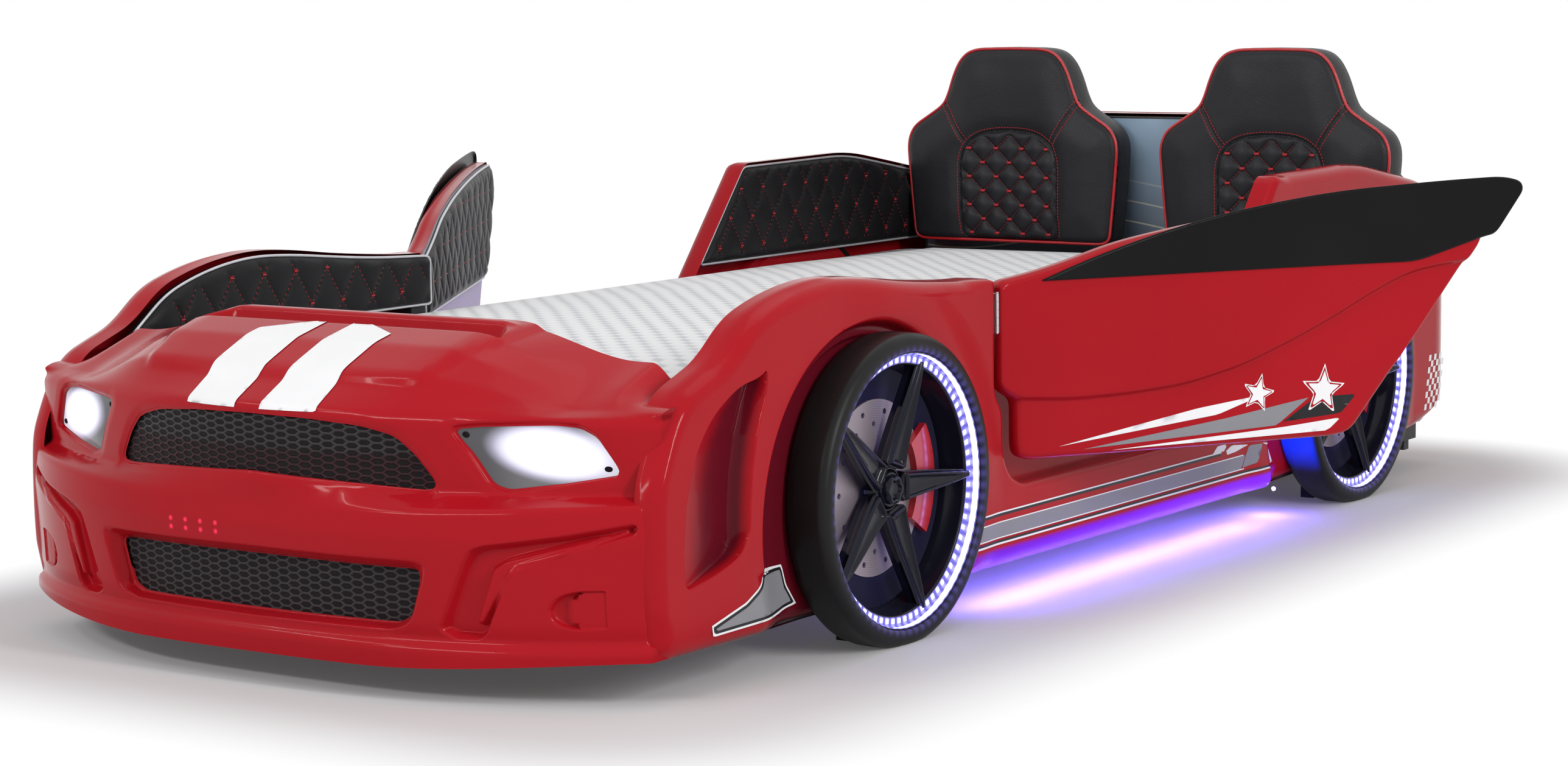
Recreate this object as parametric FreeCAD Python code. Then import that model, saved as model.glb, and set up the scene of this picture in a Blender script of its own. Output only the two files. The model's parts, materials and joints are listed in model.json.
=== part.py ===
import FreeCAD, Part
import math
import os

os.makedirs("parts", exist_ok=True)

# A child's bed in the shape of a sports car, in millimetres.
# +Z is up, the nose points along -Y, and the bed's left side is at +X.
# The origin is on the floor, under the middle of the bed.
# Both doors are made shut and then turned out about their hinges to REST_OPENING.

# ---- driving dimensions --------------------------------------------------------------------------
FIT = 0.3                    # clearance between parts that are mounted against each other
SKIN = 4.0                   # wall of every vacuum-formed shell
BOARD = 12.0                 # fibreboard of the side boards and the front board
REAR_BOARD = 18.0            # fibreboard behind the seats

MATTRESS_WIDTH = 888.0       # sold as 900 x 1900
MATTRESS_LENGTH = 1890.0
MATTRESS_EDGE = 128.0        # height of the mattress at its rim
MATTRESS_CROWN = 14.0        # what the middle rises above the rim
MATTRESS_CORNER = 42.0
MATTRESS_GAP = 2.0           # to the boards round it

FOOT_HEIGHT = 27.0           # lower edge of the side boards
SLAT_TOP = 200.0
SLAT_THICK = 12.0
SLAT_WIDTH = 72.0
SLAT_PITCH = 142.0
BATTEN = 20.0                # square strip that carries the slats
BEAM_WIDTH = 44.0
BEAM_HEIGHT = 40.0
LEG_SIZE = 44.0
FOOT_PAD = 6.0

SKIN_DEPTH = 32.0            # side board to the outer face of the side shell
ROLL_WIDTH = 50.0            # rolled top of the fenders
WELL_DEPTH = 20.0            # wheel wells behind the outer face
ARCH_RADIUS = 227.0
ARCH_SHIFT_Y = -25.0         # arch centre from the axle
ARCH_SHIFT_Z = -25.0
SCOOP_DEPTH = 13.0           # air scoop in front of the front wheel
PAD_BOTTOM = 345.0           # lower edge of the pads on the fenders and quarters

NOSE_LENGTH = 246.0          # bumper to front board
NOSE_HALF_WIDTH = 478.0
BUMPER_SWEEP = 130.0         # how far the bumper's ends lie behind its middle
HOOD_SWEEP = 150.0           # the same at the hood's front edge
SEAT_GAP = 10.0              # mattress to seat
SEAT_DEPTH = 66.0
SEAT_BOARD = 10.0
PANEL = 3.0                  # printed panel on the rear board
TAIL_DEPTH = 77.0            # rear board to the outside of the rear shell

WHEEL_BASE = 1296.0
FRONT_OVERHANG = 588.0       # bumper to front axle
HINGE_BEHIND_AXLE = 272.0
TYRE_RADIUS = 190.0
AXLE_HEIGHT = 185.0          # less than the radius: the tyres are cut flat where they stand
TYRE_FACE = 62.0             # tyre's outer face from the well's floor
TYRE_BORE = 168.0
RIM_WALL = 6.0
RING_WIDTH = 8.0             # band of wheel lamps
SPOKES = 5
SPOKE_RIDGE = 6.0            # ridge along the middle of a spoke
HUB_RADIUS = 30.0
HUB_FACE = 30.0              # hub's outer face from the well's floor
DISC_RADIUS = 108.0
DISC_HOLES = 24
DISC_HOLE_RADIUS = 3.5
CAP_RADIUS = 22.0

REST_OPENING = 31.5          # degrees, as the doors stand open
DOOR_DEPTH = 26.0            # red door shell, outer face to inner board
DOOR_STEP = 8.0              # lower door face behind the upper one
DOOR_BOARD = 6.0
DOOR_PAD = 10.0
DOOR_GAP = 6.0               # round the shut door
WING = 3.0                   # black panel along the top of the door
PIN_RADIUS = 1.5
PIN_CLEARANCE = 0.05
KNUCKLE_RADIUS = 2.7
LEAF = 1.5
HINGE_LENGTH = 50.0
HINGE_BOTTOM = 348.0

FENDER_PAD = 10.0
QUARTER_PAD = 8.5
CHANNEL = 2.2                # depth of the sewn channels
QUILT_PITCH = 62.0
QUILT_LEAN = 34.0            # degrees, the diamonds' sides from upright
SEAT_CHANNEL = 4.2           # the same on the seats
SEAT_QUILT_PITCH = 40.0
SEAT_QUILT_LEAN = 40.0
SEAT_SEAM = 4.0              # groove round the seats' quilted field
SEAT_CENTRE = 244.0
VENT_DEPTH = 12.0            # recesses pressed into the bumper
FOG_DEPTH = 10.0
HOOD_PIT = (240.0, 215.0, 70.0, 44.0)   # hood recess: front and rear half width, place, length
HOOD_PIT_DEPTH = 12.0
LENS = 3.0
LENS_SET_BACK = 9.0
LAMP_DEPTH = 16.0            # housing behind a headlight lens
LAMP_WALL = 2.5
GRILLE = 3.0
GRILLE_SET_BACK = 7.0
LOWER_GRILLE_SET_BACK = 20.0
SCREW_RADIUS = 3.5
LED_RADIUS = 3.0
LED_PITCH = 24.0
LED_ROWS = (173.0, 183.0)
LED_COLUMNS = 4
LED_START = -120.0
INLET_RADIUS = 6.0
INLET_BORE = 2.8
INLET_X = 120.0
INLET_Z = 110.0
DRIVER = (120.0, 40.0, 44.0) # supply for the lamps: width, depth, height
STRIP_DEPTH = 3.0            # underglow strips
STRIP_HEIGHT = 10.0
BOLT_HEAD = 6.0              # radius
BOLT_HEAD_DEPTH = 3.0
BOLT_ROWS = (110.0, 250.0)
FOOT_LENGTH = 60.0           # feet under the side boards

# ---- places worked out from them -----------------------------------------------------------------
X_BOARD = MATTRESS_WIDTH / 2 + MATTRESS_GAP        # inner face of the side boards
X_BOARD_OUT = X_BOARD + BOARD
X_SKIN = X_BOARD_OUT + SKIN_DEPTH                  # outer face of the car
X_WELL = X_SKIN - WELL_DEPTH
X_ROLL = X_SKIN - ROLL_WIDTH                       # inner face of the fenders
X_RECESS = X_BOARD_OUT + FIT + SKIN                # face behind the lower door
X_QUARTER = X_WELL - 2 * SKIN                      # inner face of the rear quarters
MATTRESS_BACK_GAP = SEAT_GAP + SEAT_DEPTH + SEAT_BOARD + PANEL
LENGTH = NOSE_LENGTH + MATTRESS_LENGTH + MATTRESS_BACK_GAP + REAR_BOARD + TAIL_DEPTH
Y_FRONT = -LENGTH / 2
Y_BED = Y_FRONT + NOSE_LENGTH                      # front end of the mattress
Y_BED_END = Y_BED + MATTRESS_LENGTH
Y_SEAT = Y_BED_END + SEAT_GAP                      # front of the seats
Y_SEAT_BACK = Y_SEAT + SEAT_DEPTH
Y_PANEL = Y_SEAT_BACK + SEAT_BOARD
Y_REAR_BOARD = Y_PANEL + PANEL
Y_SHELL = Y_REAR_BOARD + REAR_BOARD
Y_REAR = LENGTH / 2
Y_FRONT_BOARD = Y_BED - MATTRESS_GAP - 1 - BOARD
Y_AXLES = (Y_FRONT + FRONT_OVERHANG, Y_FRONT + FRONT_OVERHANG + WHEEL_BASE)
Y_HINGE = Y_AXLES[0] + HINGE_BEHIND_AXLE
X_DOOR_IN = X_SKIN - DOOR_DEPTH                    # inner face of the door's board, shut
SIDE_BOARD_TOP = SLAT_TOP + 100                    # the mattress lies this deep between the boards
BATTEN_TOP = SLAT_TOP - SLAT_THICK

V = FreeCAD.Vector
SIDES = (("left", 1), ("right", -1))
XAX = V(1, 0, 0)
YAX = V(0, 1, 0)
ZAX = V(0, 0, 1)


# ---- small geometry helpers ----------------------------------------------------------------------
def box(x0, x1, y0, y1, z0, z1):
    return Part.makeBox(x1 - x0, y1 - y0, z1 - z0, V(x0, y0, z0))


def offset(points, amount):
    """Moves a closed outline's corners inwards by amount along their bisectors."""
    area = sum(a[0] * b[1] - b[0] * a[1] for a, b in zip(points, points[1:] + points[:1]))
    turn = 1 if area > 0 else -1
    moved = []
    for i, (px, py) in enumerate(points):
        ax, ay = points[i - 1]
        bx, by = points[(i + 1) % len(points)]
        ux, uy = px - ax, py - ay
        vx, vy = bx - px, by - py
        ul, vl = math.hypot(ux, uy), math.hypot(vx, vy)
        n1 = (-uy / ul * turn, ux / ul * turn)
        n2 = (-vy / vl * turn, vx / vl * turn)
        k = 1 + n1[0] * n2[0] + n1[1] * n2[1]
        k = max(k, 0.35)
        moved.append((px + amount * (n1[0] + n2[0]) / k, py + amount * (n1[1] + n2[1]) / k))
    return moved


def wire_x(points, x):
    return Part.makePolygon([V(x, y, z) for y, z in points + points[:1]])


def wire_y(points, y):
    return Part.makePolygon([V(x, y, z) for x, z in points + points[:1]])


def prism_x(points, x0, x1):
    return Part.Face(wire_x(points, x0)).extrude(V(x1 - x0, 0, 0))


def prism_y(points, y0, y1):
    return Part.Face(wire_y(points, y0)).extrude(V(0, y1 - y0, 0))


def rounded_x(points, steps):
    """A solid across X through (x, inset) steps of one outline."""
    wires = [wire_x(offset(points, inset) if inset else points, x) for x, inset in steps]
    return Part.makeLoft(wires, True, True)


def tube_x(cy, cz, r_out, r_in, x0, x1):
    outer = Part.makeCylinder(r_out, x1 - x0, V(x0, cy, cz), XAX)
    return outer.cut(Part.makeCylinder(r_in, x1 - x0 + 2, V(x0 - 1, cy, cz), XAX))


def mirrored(shape):
    return shape.mirror(V(0, 0, 0), XAX)


def group(shapes):
    solids = []
    for shape in shapes:
        solids.extend(shape.Solids)
    return Part.makeCompound(solids)


def save(name, shape):
    solids = shape.Solids
    if not solids or not all(s.isValid() for s in solids):
        print("INVALID", name, len(solids))
    shape.exportStep("parts/" + name + ".step")
    print(name, len(solids), round(shape.Volume / 1000), "cm3")


def save_pair(name, shape):
    save("left_" + name, shape)
    save("right_" + name, mirrored(shape))


# ---- nose: hood and bumper in one moulding -------------------------------------------------------
def smooth(value, low, high):
    t = min(max((value - low) / (high - low), 0.0), 1.0)
    return t * t * (3 - 2 * t)


def blend(a, b, t):
    return a + (b - a) * t


def nose_profile(x):
    """Outer line of the nose at one x, from the lip's lower edge to the hood's rear edge.

    Each point is y, z and the way it moves into the nose per millimetre of depth.
    """
    t = abs(x) / NOSE_HALF_WIDTH
    low = BUMPER_SWEEP * t ** 3
    top = HOOD_SWEEP * t ** 1.8
    fall = smooth(t, 0.35, 1.0)
    crown = smooth(t, 0.42, 0.8)
    line = [
        (low + 1, blend(38, 50, fall), 1, 0),
        (low, 62, 1, 0),
        (low + 10, 71, 1, 0),
        (low + 6, 88, 1, 0),
        (low, 185, 1, 0),
        (low + 5, blend(214, 224, fall), 1, 0),
        (top + 5, 233, 1, 0),
        (top + 1, blend(314, 310, fall), 1, 0.5),
        (top + 7, blend(324, 318, fall), 1, 1),
        (blend(70, 152, fall), blend(357, 325, crown), 0.6, 1),
        (blend(120, 166, fall), blend(385, 334, crown), 0.5, 1),
        (blend(172, 190, fall), blend(398, 346, crown), 0.2, 1),
        (NOSE_LENGTH, blend(402, 368, crown), 0, 1),
    ]
    return [(Y_FRONT + y, z, dy, dz) for y, z, dy, dz in line]


NOSE_STATIONS = 6
NOSE_OVERRUN = 20.0          # past the skin's ends, trimmed off the shell again
CORES = {}


def nose_core(depth, reach=0.0):
    """Solid under the nose's skin; reach carries it past the skin's open rear and bottom."""
    if (depth, reach) in CORES:
        return CORES[(depth, reach)]
    wires = []
    half = NOSE_HALF_WIDTH + NOSE_OVERRUN
    for i in range(-NOSE_STATIONS, NOSE_STATIONS + 1):
        x = half * math.sin(math.pi / 2.15 * i / NOSE_STATIONS) / math.sin(math.pi / 2.15)
        line = [(y + depth * dy, z - depth * dz) for y, z, dy, dz in nose_profile(x)]
        line[0] = (line[0][0], line[0][1] - reach)
        (ya, za), (yb, zb) = line[-2:]
        y_end = Y_BED - FIT + reach
        line[-1] = (y_end, zb + (zb - za) * (y_end - yb) / (yb - ya))
        line.append((y_end, line[0][1]))
        wires.append(wire_x(line, x))
    CORES[(depth, reach)] = Part.makeLoft(wires, True, False)
    return CORES[(depth, reach)]


def under_skin(shape, outer, inner):
    """The part of a shape between two depths under the nose's outer face."""
    return shape.common(nose_core(outer, 10.0)).cut(nose_core(inner, 20.0))


def both(points):
    """A closed outline from its right half, listed from the bottom middle to the top middle."""
    return points + [(-x, z) for x, z in reversed(points) if x]


UPPER_GRILLE = both([(0, 247), (150, 240), (235, 235), (242, 243), (219, 276), (195, 298), (154, 308),
                     (80, 314), (0, 316)])
LOWER_GRILLE = both([(0, 84), (198, 85), (215, 94), (229, 140), (226, 148), (0, 149)])
LOWER_RECESS = both([(0, 77), (205, 78), (226, 90), (250, 152), (246, 160), (0, 162)])
HEADLIGHT = [(265, 302), (283, 278), (302, 244), (317, 238), (376, 246), (433, 257), (433, 263),
             (412, 302), (394, 313), (369, 316), (292, 312), (264, 309)]
VENT = [(465, 206), (398, 193), (315, 181), (301, 176), (292, 162), (267, 101), (259, 83), (276, 74),
        (306, 74), (315, 81), (336, 132), (349, 154), (466, 194)]
FOG_RECESS = [(428, 135), (412, 128), (402, 110), (408, 94), (427, 91), (442, 93), (442, 133)]
LENS_SCREWS = [(273, 303), (424, 262)]
Y_THROUGH = (Y_FRONT - 20, Y_FRONT + HOOD_SWEEP + 60)


def through(points, side=1):
    prism = prism_y(points, *Y_THROUGH)
    return prism if side > 0 else mirrored(prism)


def front_shell():
    recesses = [(UPPER_GRILLE, GRILLE_SET_BACK, False, 1), (LOWER_RECESS, LOWER_GRILLE_SET_BACK, False, 1)]
    for side in (1, -1):
        recesses.append((HEADLIGHT, LENS_SET_BACK, False, side))
        recesses.append((VENT, VENT_DEPTH, True, side))
        recesses.append((FOG_RECESS, FOG_DEPTH, True, side))
    moulds, holes = [], []
    for outline, depth, floor, side in recesses:
        moulds.append(through(offset(outline, -SKIN), side).cut(nose_core(depth + SKIN, 20.0)))
        hole = through(outline, side)
        holes.append(hole.cut(nose_core(depth, 20.0)) if floor else hole)
    y_pit = Y_BED - HOOD_PIT[2]
    for grow, depth, pieces in ((SKIN, HOOD_PIT_DEPTH + SKIN, moulds), (0.0, HOOD_PIT_DEPTH, holes)):
        corners = [(-HOOD_PIT[0], y_pit), (HOOD_PIT[0], y_pit), (HOOD_PIT[1], y_pit + HOOD_PIT[3]),
                   (-HOOD_PIT[1], y_pit + HOOD_PIT[3])]
        rim = [V(x, y, 0) for x, y in offset(corners, -grow)]
        prism = Part.Face(Part.makePolygon(rim + rim[:1])).extrude(V(0, 0, 600))
        pieces.append(prism.cut(nose_core(depth, 20.0)))
    cavity = nose_core(SKIN, 20.0).cut(moulds)
    for side in (1, -1):
        fender = prism_x(offset(FENDER_FRONT, -FIT), X_ROLL - FIT, X_SKIN + 1)
        holes.append(fender if side > 0 else mirrored(fender))
    width = box(-NOSE_HALF_WIDTH, NOSE_HALF_WIDTH, Y_FRONT - 10, Y_BED, 0, 600)
    return nose_core(0.0).common(width).cut([cavity] + holes)


def behind(points, depth, thick, margin, side=1):
    """A plate that follows the nose's curve behind an opening."""
    return under_skin(through(offset(points, margin), side), depth, depth + thick)


def lamp_housing(side):
    """Bucket behind a headlight lens, with its lamps on the floor."""
    start = LENS_SET_BACK + SKIN + LENS + 2 * FIT
    bucket = behind(HEADLIGHT, start, LAMP_DEPTH, 2.0, side)
    return bucket.cut(behind(HEADLIGHT, start - 1, LAMP_DEPTH + 1 - LAMP_WALL, 2.0 + LAMP_WALL, side))


# ---- side shells ---------------------------------------------------------------------------------
Y_AXLE = Y_AXLES[0]
# Fender: the front edge is held to the nose, the arch and the top to the axle and the hinge.
FENDER_NOSE = [(141, 46), (131, 78), (127, 130), (127, 200), (130, 244), (143, 274), (160, 308),
               (189, 340), (226, 354), (271, 370)]
FENDER_TOP = [(-265, 412), (-213, 429), (-155, 441), (-88, 447), (-14, 442), (69, 431), (156, 423)]
FENDER_END = [(-61, 419), (-3, 417), (-3, 271), (17, 248), (17, 190), (34, 162), (70, 146)]
SILL_Z = 43.0


def door_line(z, gap=0.0):
    """Y of the shut door's slanted rear edge at a height, and of the quarter's edge at a gap."""
    slope = (DOOR_TIP[0] - DOOR_KNEE[0]) / (DOOR_TIP[1] - DOOR_KNEE[1])
    return Y_HINGE + DOOR_KNEE[0] + (z - DOOR_KNEE[1]) * slope + gap * math.hypot(1, slope)


DOOR_KNEE = (538, 184)
DOOR_TIP = (745, 434)
QUARTER_TOP = [(86, 504), (206, 484), (330, 462)]
TAIL_TOP = [(-152, 452), (-40, 441), (-14, 430)]
TAIL_END = [(0, 400), (0, 170), (-16, 122), (-50, 94), (-92, 78), (-182, 62), (-235, 54)]
FENDER_FRONT = [(Y_FRONT + y, z) for y, z in FENDER_NOSE]
FENDER_FRONT += [(Y_AXLE + y, z) for y, z in FENDER_TOP] + [(Y_HINGE, 417), (Y_HINGE, SILL_Z)]
SIDE_OUTLINE = FENDER_FRONT[:-2]
SIDE_OUTLINE += [(Y_HINGE + y, z) for y, z in FENDER_END]
SIDE_OUTLINE += [(door_line(z, DOOR_GAP), z) for z in (146, 500)]
SIDE_OUTLINE += [(Y_AXLES[1] + y, z) for y, z in QUARTER_TOP]
SIDE_OUTLINE += [(Y_REAR + y, z) for y, z in TAIL_TOP]
SIDE_OUTLINE += [(Y_REAR - 3 + y, z) for y, z in TAIL_END]
SIDE_OUTLINE += [(Y_AXLES[1] - 200, SILL_Z), (Y_AXLE + 200, SILL_Z)]
SCOOP = [(-257, 347), (-318, 329), (-368, 299), (-395, 259), (-406, 225), (-412, 190), (-412, 154),
         (-409, 120), (-348, 130), (-309, 146), (-308, 175), (-294, 246), (-262, 333)]


def side_shell():
    xs = X_SKIN
    outer = rounded_x(SIDE_OUTLINE, [(X_ROLL, 0), (xs - 24, 0), (xs - 10, 3), (xs - 3, 8), (xs, 15)])
    cavity = rounded_x(SIDE_OUTLINE, [(X_ROLL + SKIN, SKIN), (xs - 25, SKIN), (xs - 13, SKIN + 3),
                                      (xs - 7, SKIN + 8), (xs - SKIN, SKIN + 15)])
    # wells for the wheels: a flat floor with a wall round it
    for axle in Y_AXLES:
        cy, cz = axle + ARCH_SHIFT_Y, AXLE_HEIGHT + ARCH_SHIFT_Z
        hole = Part.makeCylinder(ARCH_RADIUS, WELL_DEPTH + 2, V(X_WELL, cy, cz), XAX)
        mould = Part.makeCylinder(ARCH_RADIUS + SKIN, WELL_DEPTH + SKIN + 2, V(X_WELL - SKIN, cy, cz), XAX)
        cavity = cavity.cut(mould)
        outer = outer.cut(hole)
    hollow = prism_x([(Y_AXLE + y, z) for y, z in SCOOP], xs - SCOOP_DEPTH, xs + 1)
    mould = prism_x(offset([(Y_AXLE + y, z) for y, z in SCOOP], -SKIN), xs - SCOOP_DEPTH - SKIN, xs + 1)
    outer = outer.cut(hollow)
    cavity = cavity.cut(mould)
    shell = outer.cut(cavity)
    # the inner side is open below the pads, and all along the sill and the quarter
    far = LENGTH
    shell = shell.cut(box(X_ROLL - 1, X_BOARD_OUT + FIT, -far, far, 0, PAD_BOTTOM))
    shell = shell.cut(box(X_ROLL - 1, X_QUARTER, Y_HINGE, far, 0, 600))
    # bottom of the shell is open between the board and the skin
    shell = shell.cut(box(X_BOARD_OUT - 1, xs - SKIN, Y_FRONT + 160, Y_REAR - 100, 0, SILL_Z + SKIN + 1))
    # face behind the lower door
    recess = [(Y_HINGE - 3 - SKIN, 142), (door_line(142, DOOR_GAP) + 2, 142),
              (door_line(SIDE_BOARD_TOP, DOOR_GAP) + 2, SIDE_BOARD_TOP), (Y_HINGE - 3 - SKIN, SIDE_BOARD_TOP)]
    shell = shell.fuse(prism_x(recess, X_RECESS - SKIN, X_RECESS))
    # inner wall of the quarter, above the mattress
    inner = [(door_line(PAD_BOTTOM, DOOR_GAP) + 2, PAD_BOTTOM)]
    inner += [(door_line(498, DOOR_GAP) + 2, 498)]
    inner += [(Y_AXLES[1] + y, z - 2) for y, z in QUARTER_TOP]
    inner += [(Y_REAR + TAIL_TOP[0][0], TAIL_TOP[0][1] - 2), (Y_SHELL, TAIL_TOP[0][1] - 8)]
    inner += [(Y_SHELL, PAD_BOTTOM)]
    return shell.fuse(prism_x(inner, X_QUARTER, X_QUARTER + SKIN))


# ---- quilted pads --------------------------------------------------------------------------------
def channel_bar(depth, reach, axis, lean):
    """A square bar on edge, which cuts a V-shaped groove of one depth, leaning about one axis."""
    side = depth * math.sqrt(2)
    bar = Part.makeBox(side, side, reach, V(-side / 2, -side / 2, -reach / 2))
    bar.rotate(V(0, 0, 0), ZAX, 45)
    bar.rotate(V(0, 0, 0), axis, lean)
    return bar


def pad(points, x_face, x_back):
    """A quilted pad whose face is at x_face: crowned edges and sewn diamonds."""
    body = rounded_x(points, [(x_back, 1), ((x_face + x_back) / 2, 0), (x_face + 1.5, 2), (x_face, 6)])
    ys = [p[0] for p in points]
    zs = [p[1] for p in points]
    height = max(zs) - min(zs)
    bars = []
    for lean in (QUILT_LEAN, -QUILT_LEAN):
        place = min(ys) - height
        while place < max(ys) + height:
            bar = channel_bar(CHANNEL, height + max(ys) - min(ys), XAX, lean)
            bar.translate(V(x_face, place, (min(zs) + max(zs)) / 2))
            bars.append(bar)
            place += QUILT_PITCH
    return body.cut(Part.makeCompound(bars))


def fender_pad():
    top = [(Y_AXLE - 300, 372), (Y_AXLE - 258, 403), (Y_AXLE - 205, 421), (Y_AXLE - 150, 433),
           (Y_AXLE - 88, 439), (Y_AXLE - 14, 435), (Y_AXLE + 69, 426), (Y_AXLE + 156, 418)]
    end = [(Y_HINGE - 10, 413), (Y_HINGE - 4, 408), (Y_HINGE - 4, PAD_BOTTOM)]
    points = top + end + [(Y_AXLE - 335, PAD_BOTTOM)]
    return pad(points, X_ROLL - FENDER_PAD - FIT, X_ROLL - FIT)


def quarter_pad():
    points = [(door_line(PAD_BOTTOM, DOOR_GAP) + 6, PAD_BOTTOM), (door_line(494, DOOR_GAP) + 6, 494)]
    points += [(Y_AXLES[1] + y, z - 6) for y, z in QUARTER_TOP]
    points += [(Y_SEAT_BACK, 452), (Y_SEAT_BACK, PAD_BOTTOM)]
    return pad(points, X_QUARTER - QUARTER_PAD - FIT, X_QUARTER - FIT)


# ---- doors ---------------------------------------------------------------------------------------
DOOR_FRONT = KNUCKLE_RADIUS + FIT          # door's front edge behind the hinge line
DOOR_OUTLINE = [(DOOR_FRONT, 406), (12, 413), (58, 421), (112, 434), (177, 453), (237, 464),
                (321, 477), (462, 491), (610, 500), (735, 503), (748, 492), DOOR_TIP, DOOR_KNEE,
                (509, 181), (48, 181),
                (35, 186), (30, 196), (30, 260), (12, 270), (DOOR_FRONT, 282)]
DOOR_CREASE = [(DOOR_FRONT, 268), (111, 259), (194, 260), (278, 267), (363, 284), (449, 315), (507, 341),
               (566, 371), (625, 395), (685, 406), (728, 411)]
WING_OUTLINE = [(62, 411), (112, 429), (166, 446), (255, 470), (362, 491), (506, 509), (683, 517),
                (774, 519), (803, 512), (808, 500), (763, 442), (745, 439), (635, 410), (507, 411)]
DOOR_PAD_OUTLINE = [(10, 322), (10, 404), (60, 415), (112, 428), (177, 448), (237, 459), (321, 472),
                    (462, 486), (610, 495), (728, 498), (740, 488), (736, 434), (661, 342), (640, 322)]


def door_points(points):
    return [(Y_HINGE + d, z) for d, z in points]


def door_shell():
    outline = door_points(DOOR_OUTLINE)
    xs = X_SKIN
    body = rounded_x(outline, [(X_DOOR_IN, 0), (xs - 8, 0), (xs - 2, 3), (xs, 8)])
    crease = door_points(DOOR_CREASE)
    low = crease + [(Y_HINGE + DOOR_TIP[0] + 40, 411), (Y_HINGE + DOOR_TIP[0] + 40, 150), (Y_HINGE - 20, 150),
                    (Y_HINGE - 20, crease[0][1])]
    lower = rounded_x(low, [(xs - DOOR_STEP, 0), (xs + 1, -DOOR_STEP)])
    body = body.cut(lower)
    hollow = rounded_x(outline, [(X_DOOR_IN - 1, SKIN), (xs - DOOR_STEP - SKIN, SKIN)])
    upper = rounded_x(outline, [(xs - DOOR_STEP - SKIN - 1, SKIN + 1), (xs - SKIN - 2, SKIN + 5),
                                (xs - SKIN, SKIN + 9)])
    low_wall = rounded_x(low, [(xs - DOOR_STEP - SKIN, -SKIN), (xs, -SKIN - DOOR_STEP)])
    return body.cut(hollow).cut(upper.cut(low_wall))


def door_board():
    return prism_x(offset(door_points(DOOR_OUTLINE), SKIN + FIT), X_DOOR_IN, X_DOOR_IN + DOOR_BOARD)


def door_pad():
    return pad(door_points(DOOR_PAD_OUTLINE), X_DOOR_IN - DOOR_PAD - FIT, X_DOOR_IN - FIT)


def door_wing():
    start = X_SKIN + FIT
    return rounded_x(door_points(WING_OUTLINE), [(start, 0), (start + WING - 1, 0), (start + WING, 1.2)])


def hinge(leaf_side):
    """One leaf with its knuckles; -1 is the leaf on the body, 1 the leaf on the door."""
    count = 5
    height = HINGE_LENGTH / count
    x_end = X_SKIN - 1
    y_wall = Y_HINGE + leaf_side * KNUCKLE_RADIUS
    y_near = y_wall - leaf_side * LEAF
    top = HINGE_BOTTOM + HINGE_LENGTH
    leaf = box(X_DOOR_IN, x_end, min(y_wall, y_near), max(y_wall, y_near), HINGE_BOTTOM, top)
    for i in range(count):
        low = HINGE_BOTTOM + i * height
        own = (i % 2 == 0) == (leaf_side < 0)
        if own:
            knuckle = Part.makeCylinder(KNUCKLE_RADIUS, height - FIT, V(X_SKIN, Y_HINGE, low + FIT / 2))
            leaf = leaf.fuse(knuckle)
        else:
            room = Part.makeCylinder(KNUCKLE_RADIUS + 0.5, height, V(X_SKIN, Y_HINGE, low))
            leaf = leaf.cut(room)
    bore = Part.makeCylinder(PIN_RADIUS + PIN_CLEARANCE, HINGE_LENGTH, V(X_SKIN, Y_HINGE, HINGE_BOTTOM))
    return leaf.cut(bore)


def hinge_pin():
    pin = Part.makeCylinder(PIN_RADIUS, HINGE_LENGTH + 2, V(X_SKIN, Y_HINGE, HINGE_BOTTOM - 1))
    head = Part.makeCylinder(PIN_RADIUS + 0.9, 1.5, V(X_SKIN, Y_HINGE, HINGE_BOTTOM + HINGE_LENGTH + 0.5))
    return pin.fuse(head)


def opened(shape):
    """A shut left part turned out to where the open door stands."""
    turned = shape.copy()
    turned.rotate(V(X_SKIN, Y_HINGE, 0), ZAX, -REST_OPENING)
    return turned


def hinge_post():
    """Block inside the fender that takes the hinge's screws."""
    y1 = Y_HINGE - 3 - SKIN - FIT
    return box(X_ROLL + SKIN + FIT, X_SKIN - 26, y1 - 30, y1, SIDE_BOARD_TOP + FIT, 400)


# ---- wheels --------------------------------------------------------------------------------------
def at_wheel(shape, index):
    moved = shape.copy()
    moved.translate(V(X_WELL + FIT, Y_AXLES[index], AXLE_HEIGHT))
    return moved


def tyre():
    face = TYRE_FACE - FIT
    shoulder = 12.0
    line = [(0, TYRE_BORE), (face - 6, TYRE_BORE), (face - 1, TYRE_BORE + 3), (face, TYRE_BORE + 6),
            (face - 1.5, TYRE_RADIUS - shoulder + 4), (face - 5, TYRE_RADIUS - 4),
            (face - shoulder, TYRE_RADIUS), (0, TYRE_RADIUS)]
    profile = Part.makePolygon([V(x, 0, r) for x, r in line + line[:1]])
    ring = Part.Face(profile).revolve(V(0, 0, 0), XAX, 360)
    floor = box(-5, TYRE_FACE + 5, -TYRE_RADIUS, TYRE_RADIUS, -2 * TYRE_RADIUS, -AXLE_HEIGHT)
    return ring.cut(floor)


def spoke_section(y, x_back, x_face, half_back, half_face):
    """A spoke's cross-section at one distance from the axle: wider at its back than at its face."""
    corners = [V(x_back, y, -half_back), V(x_back, y, half_back), V(x_face, y, half_face),
               V(x_face, y, -half_face)]
    return Part.makePolygon(corners + corners[:1])


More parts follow.
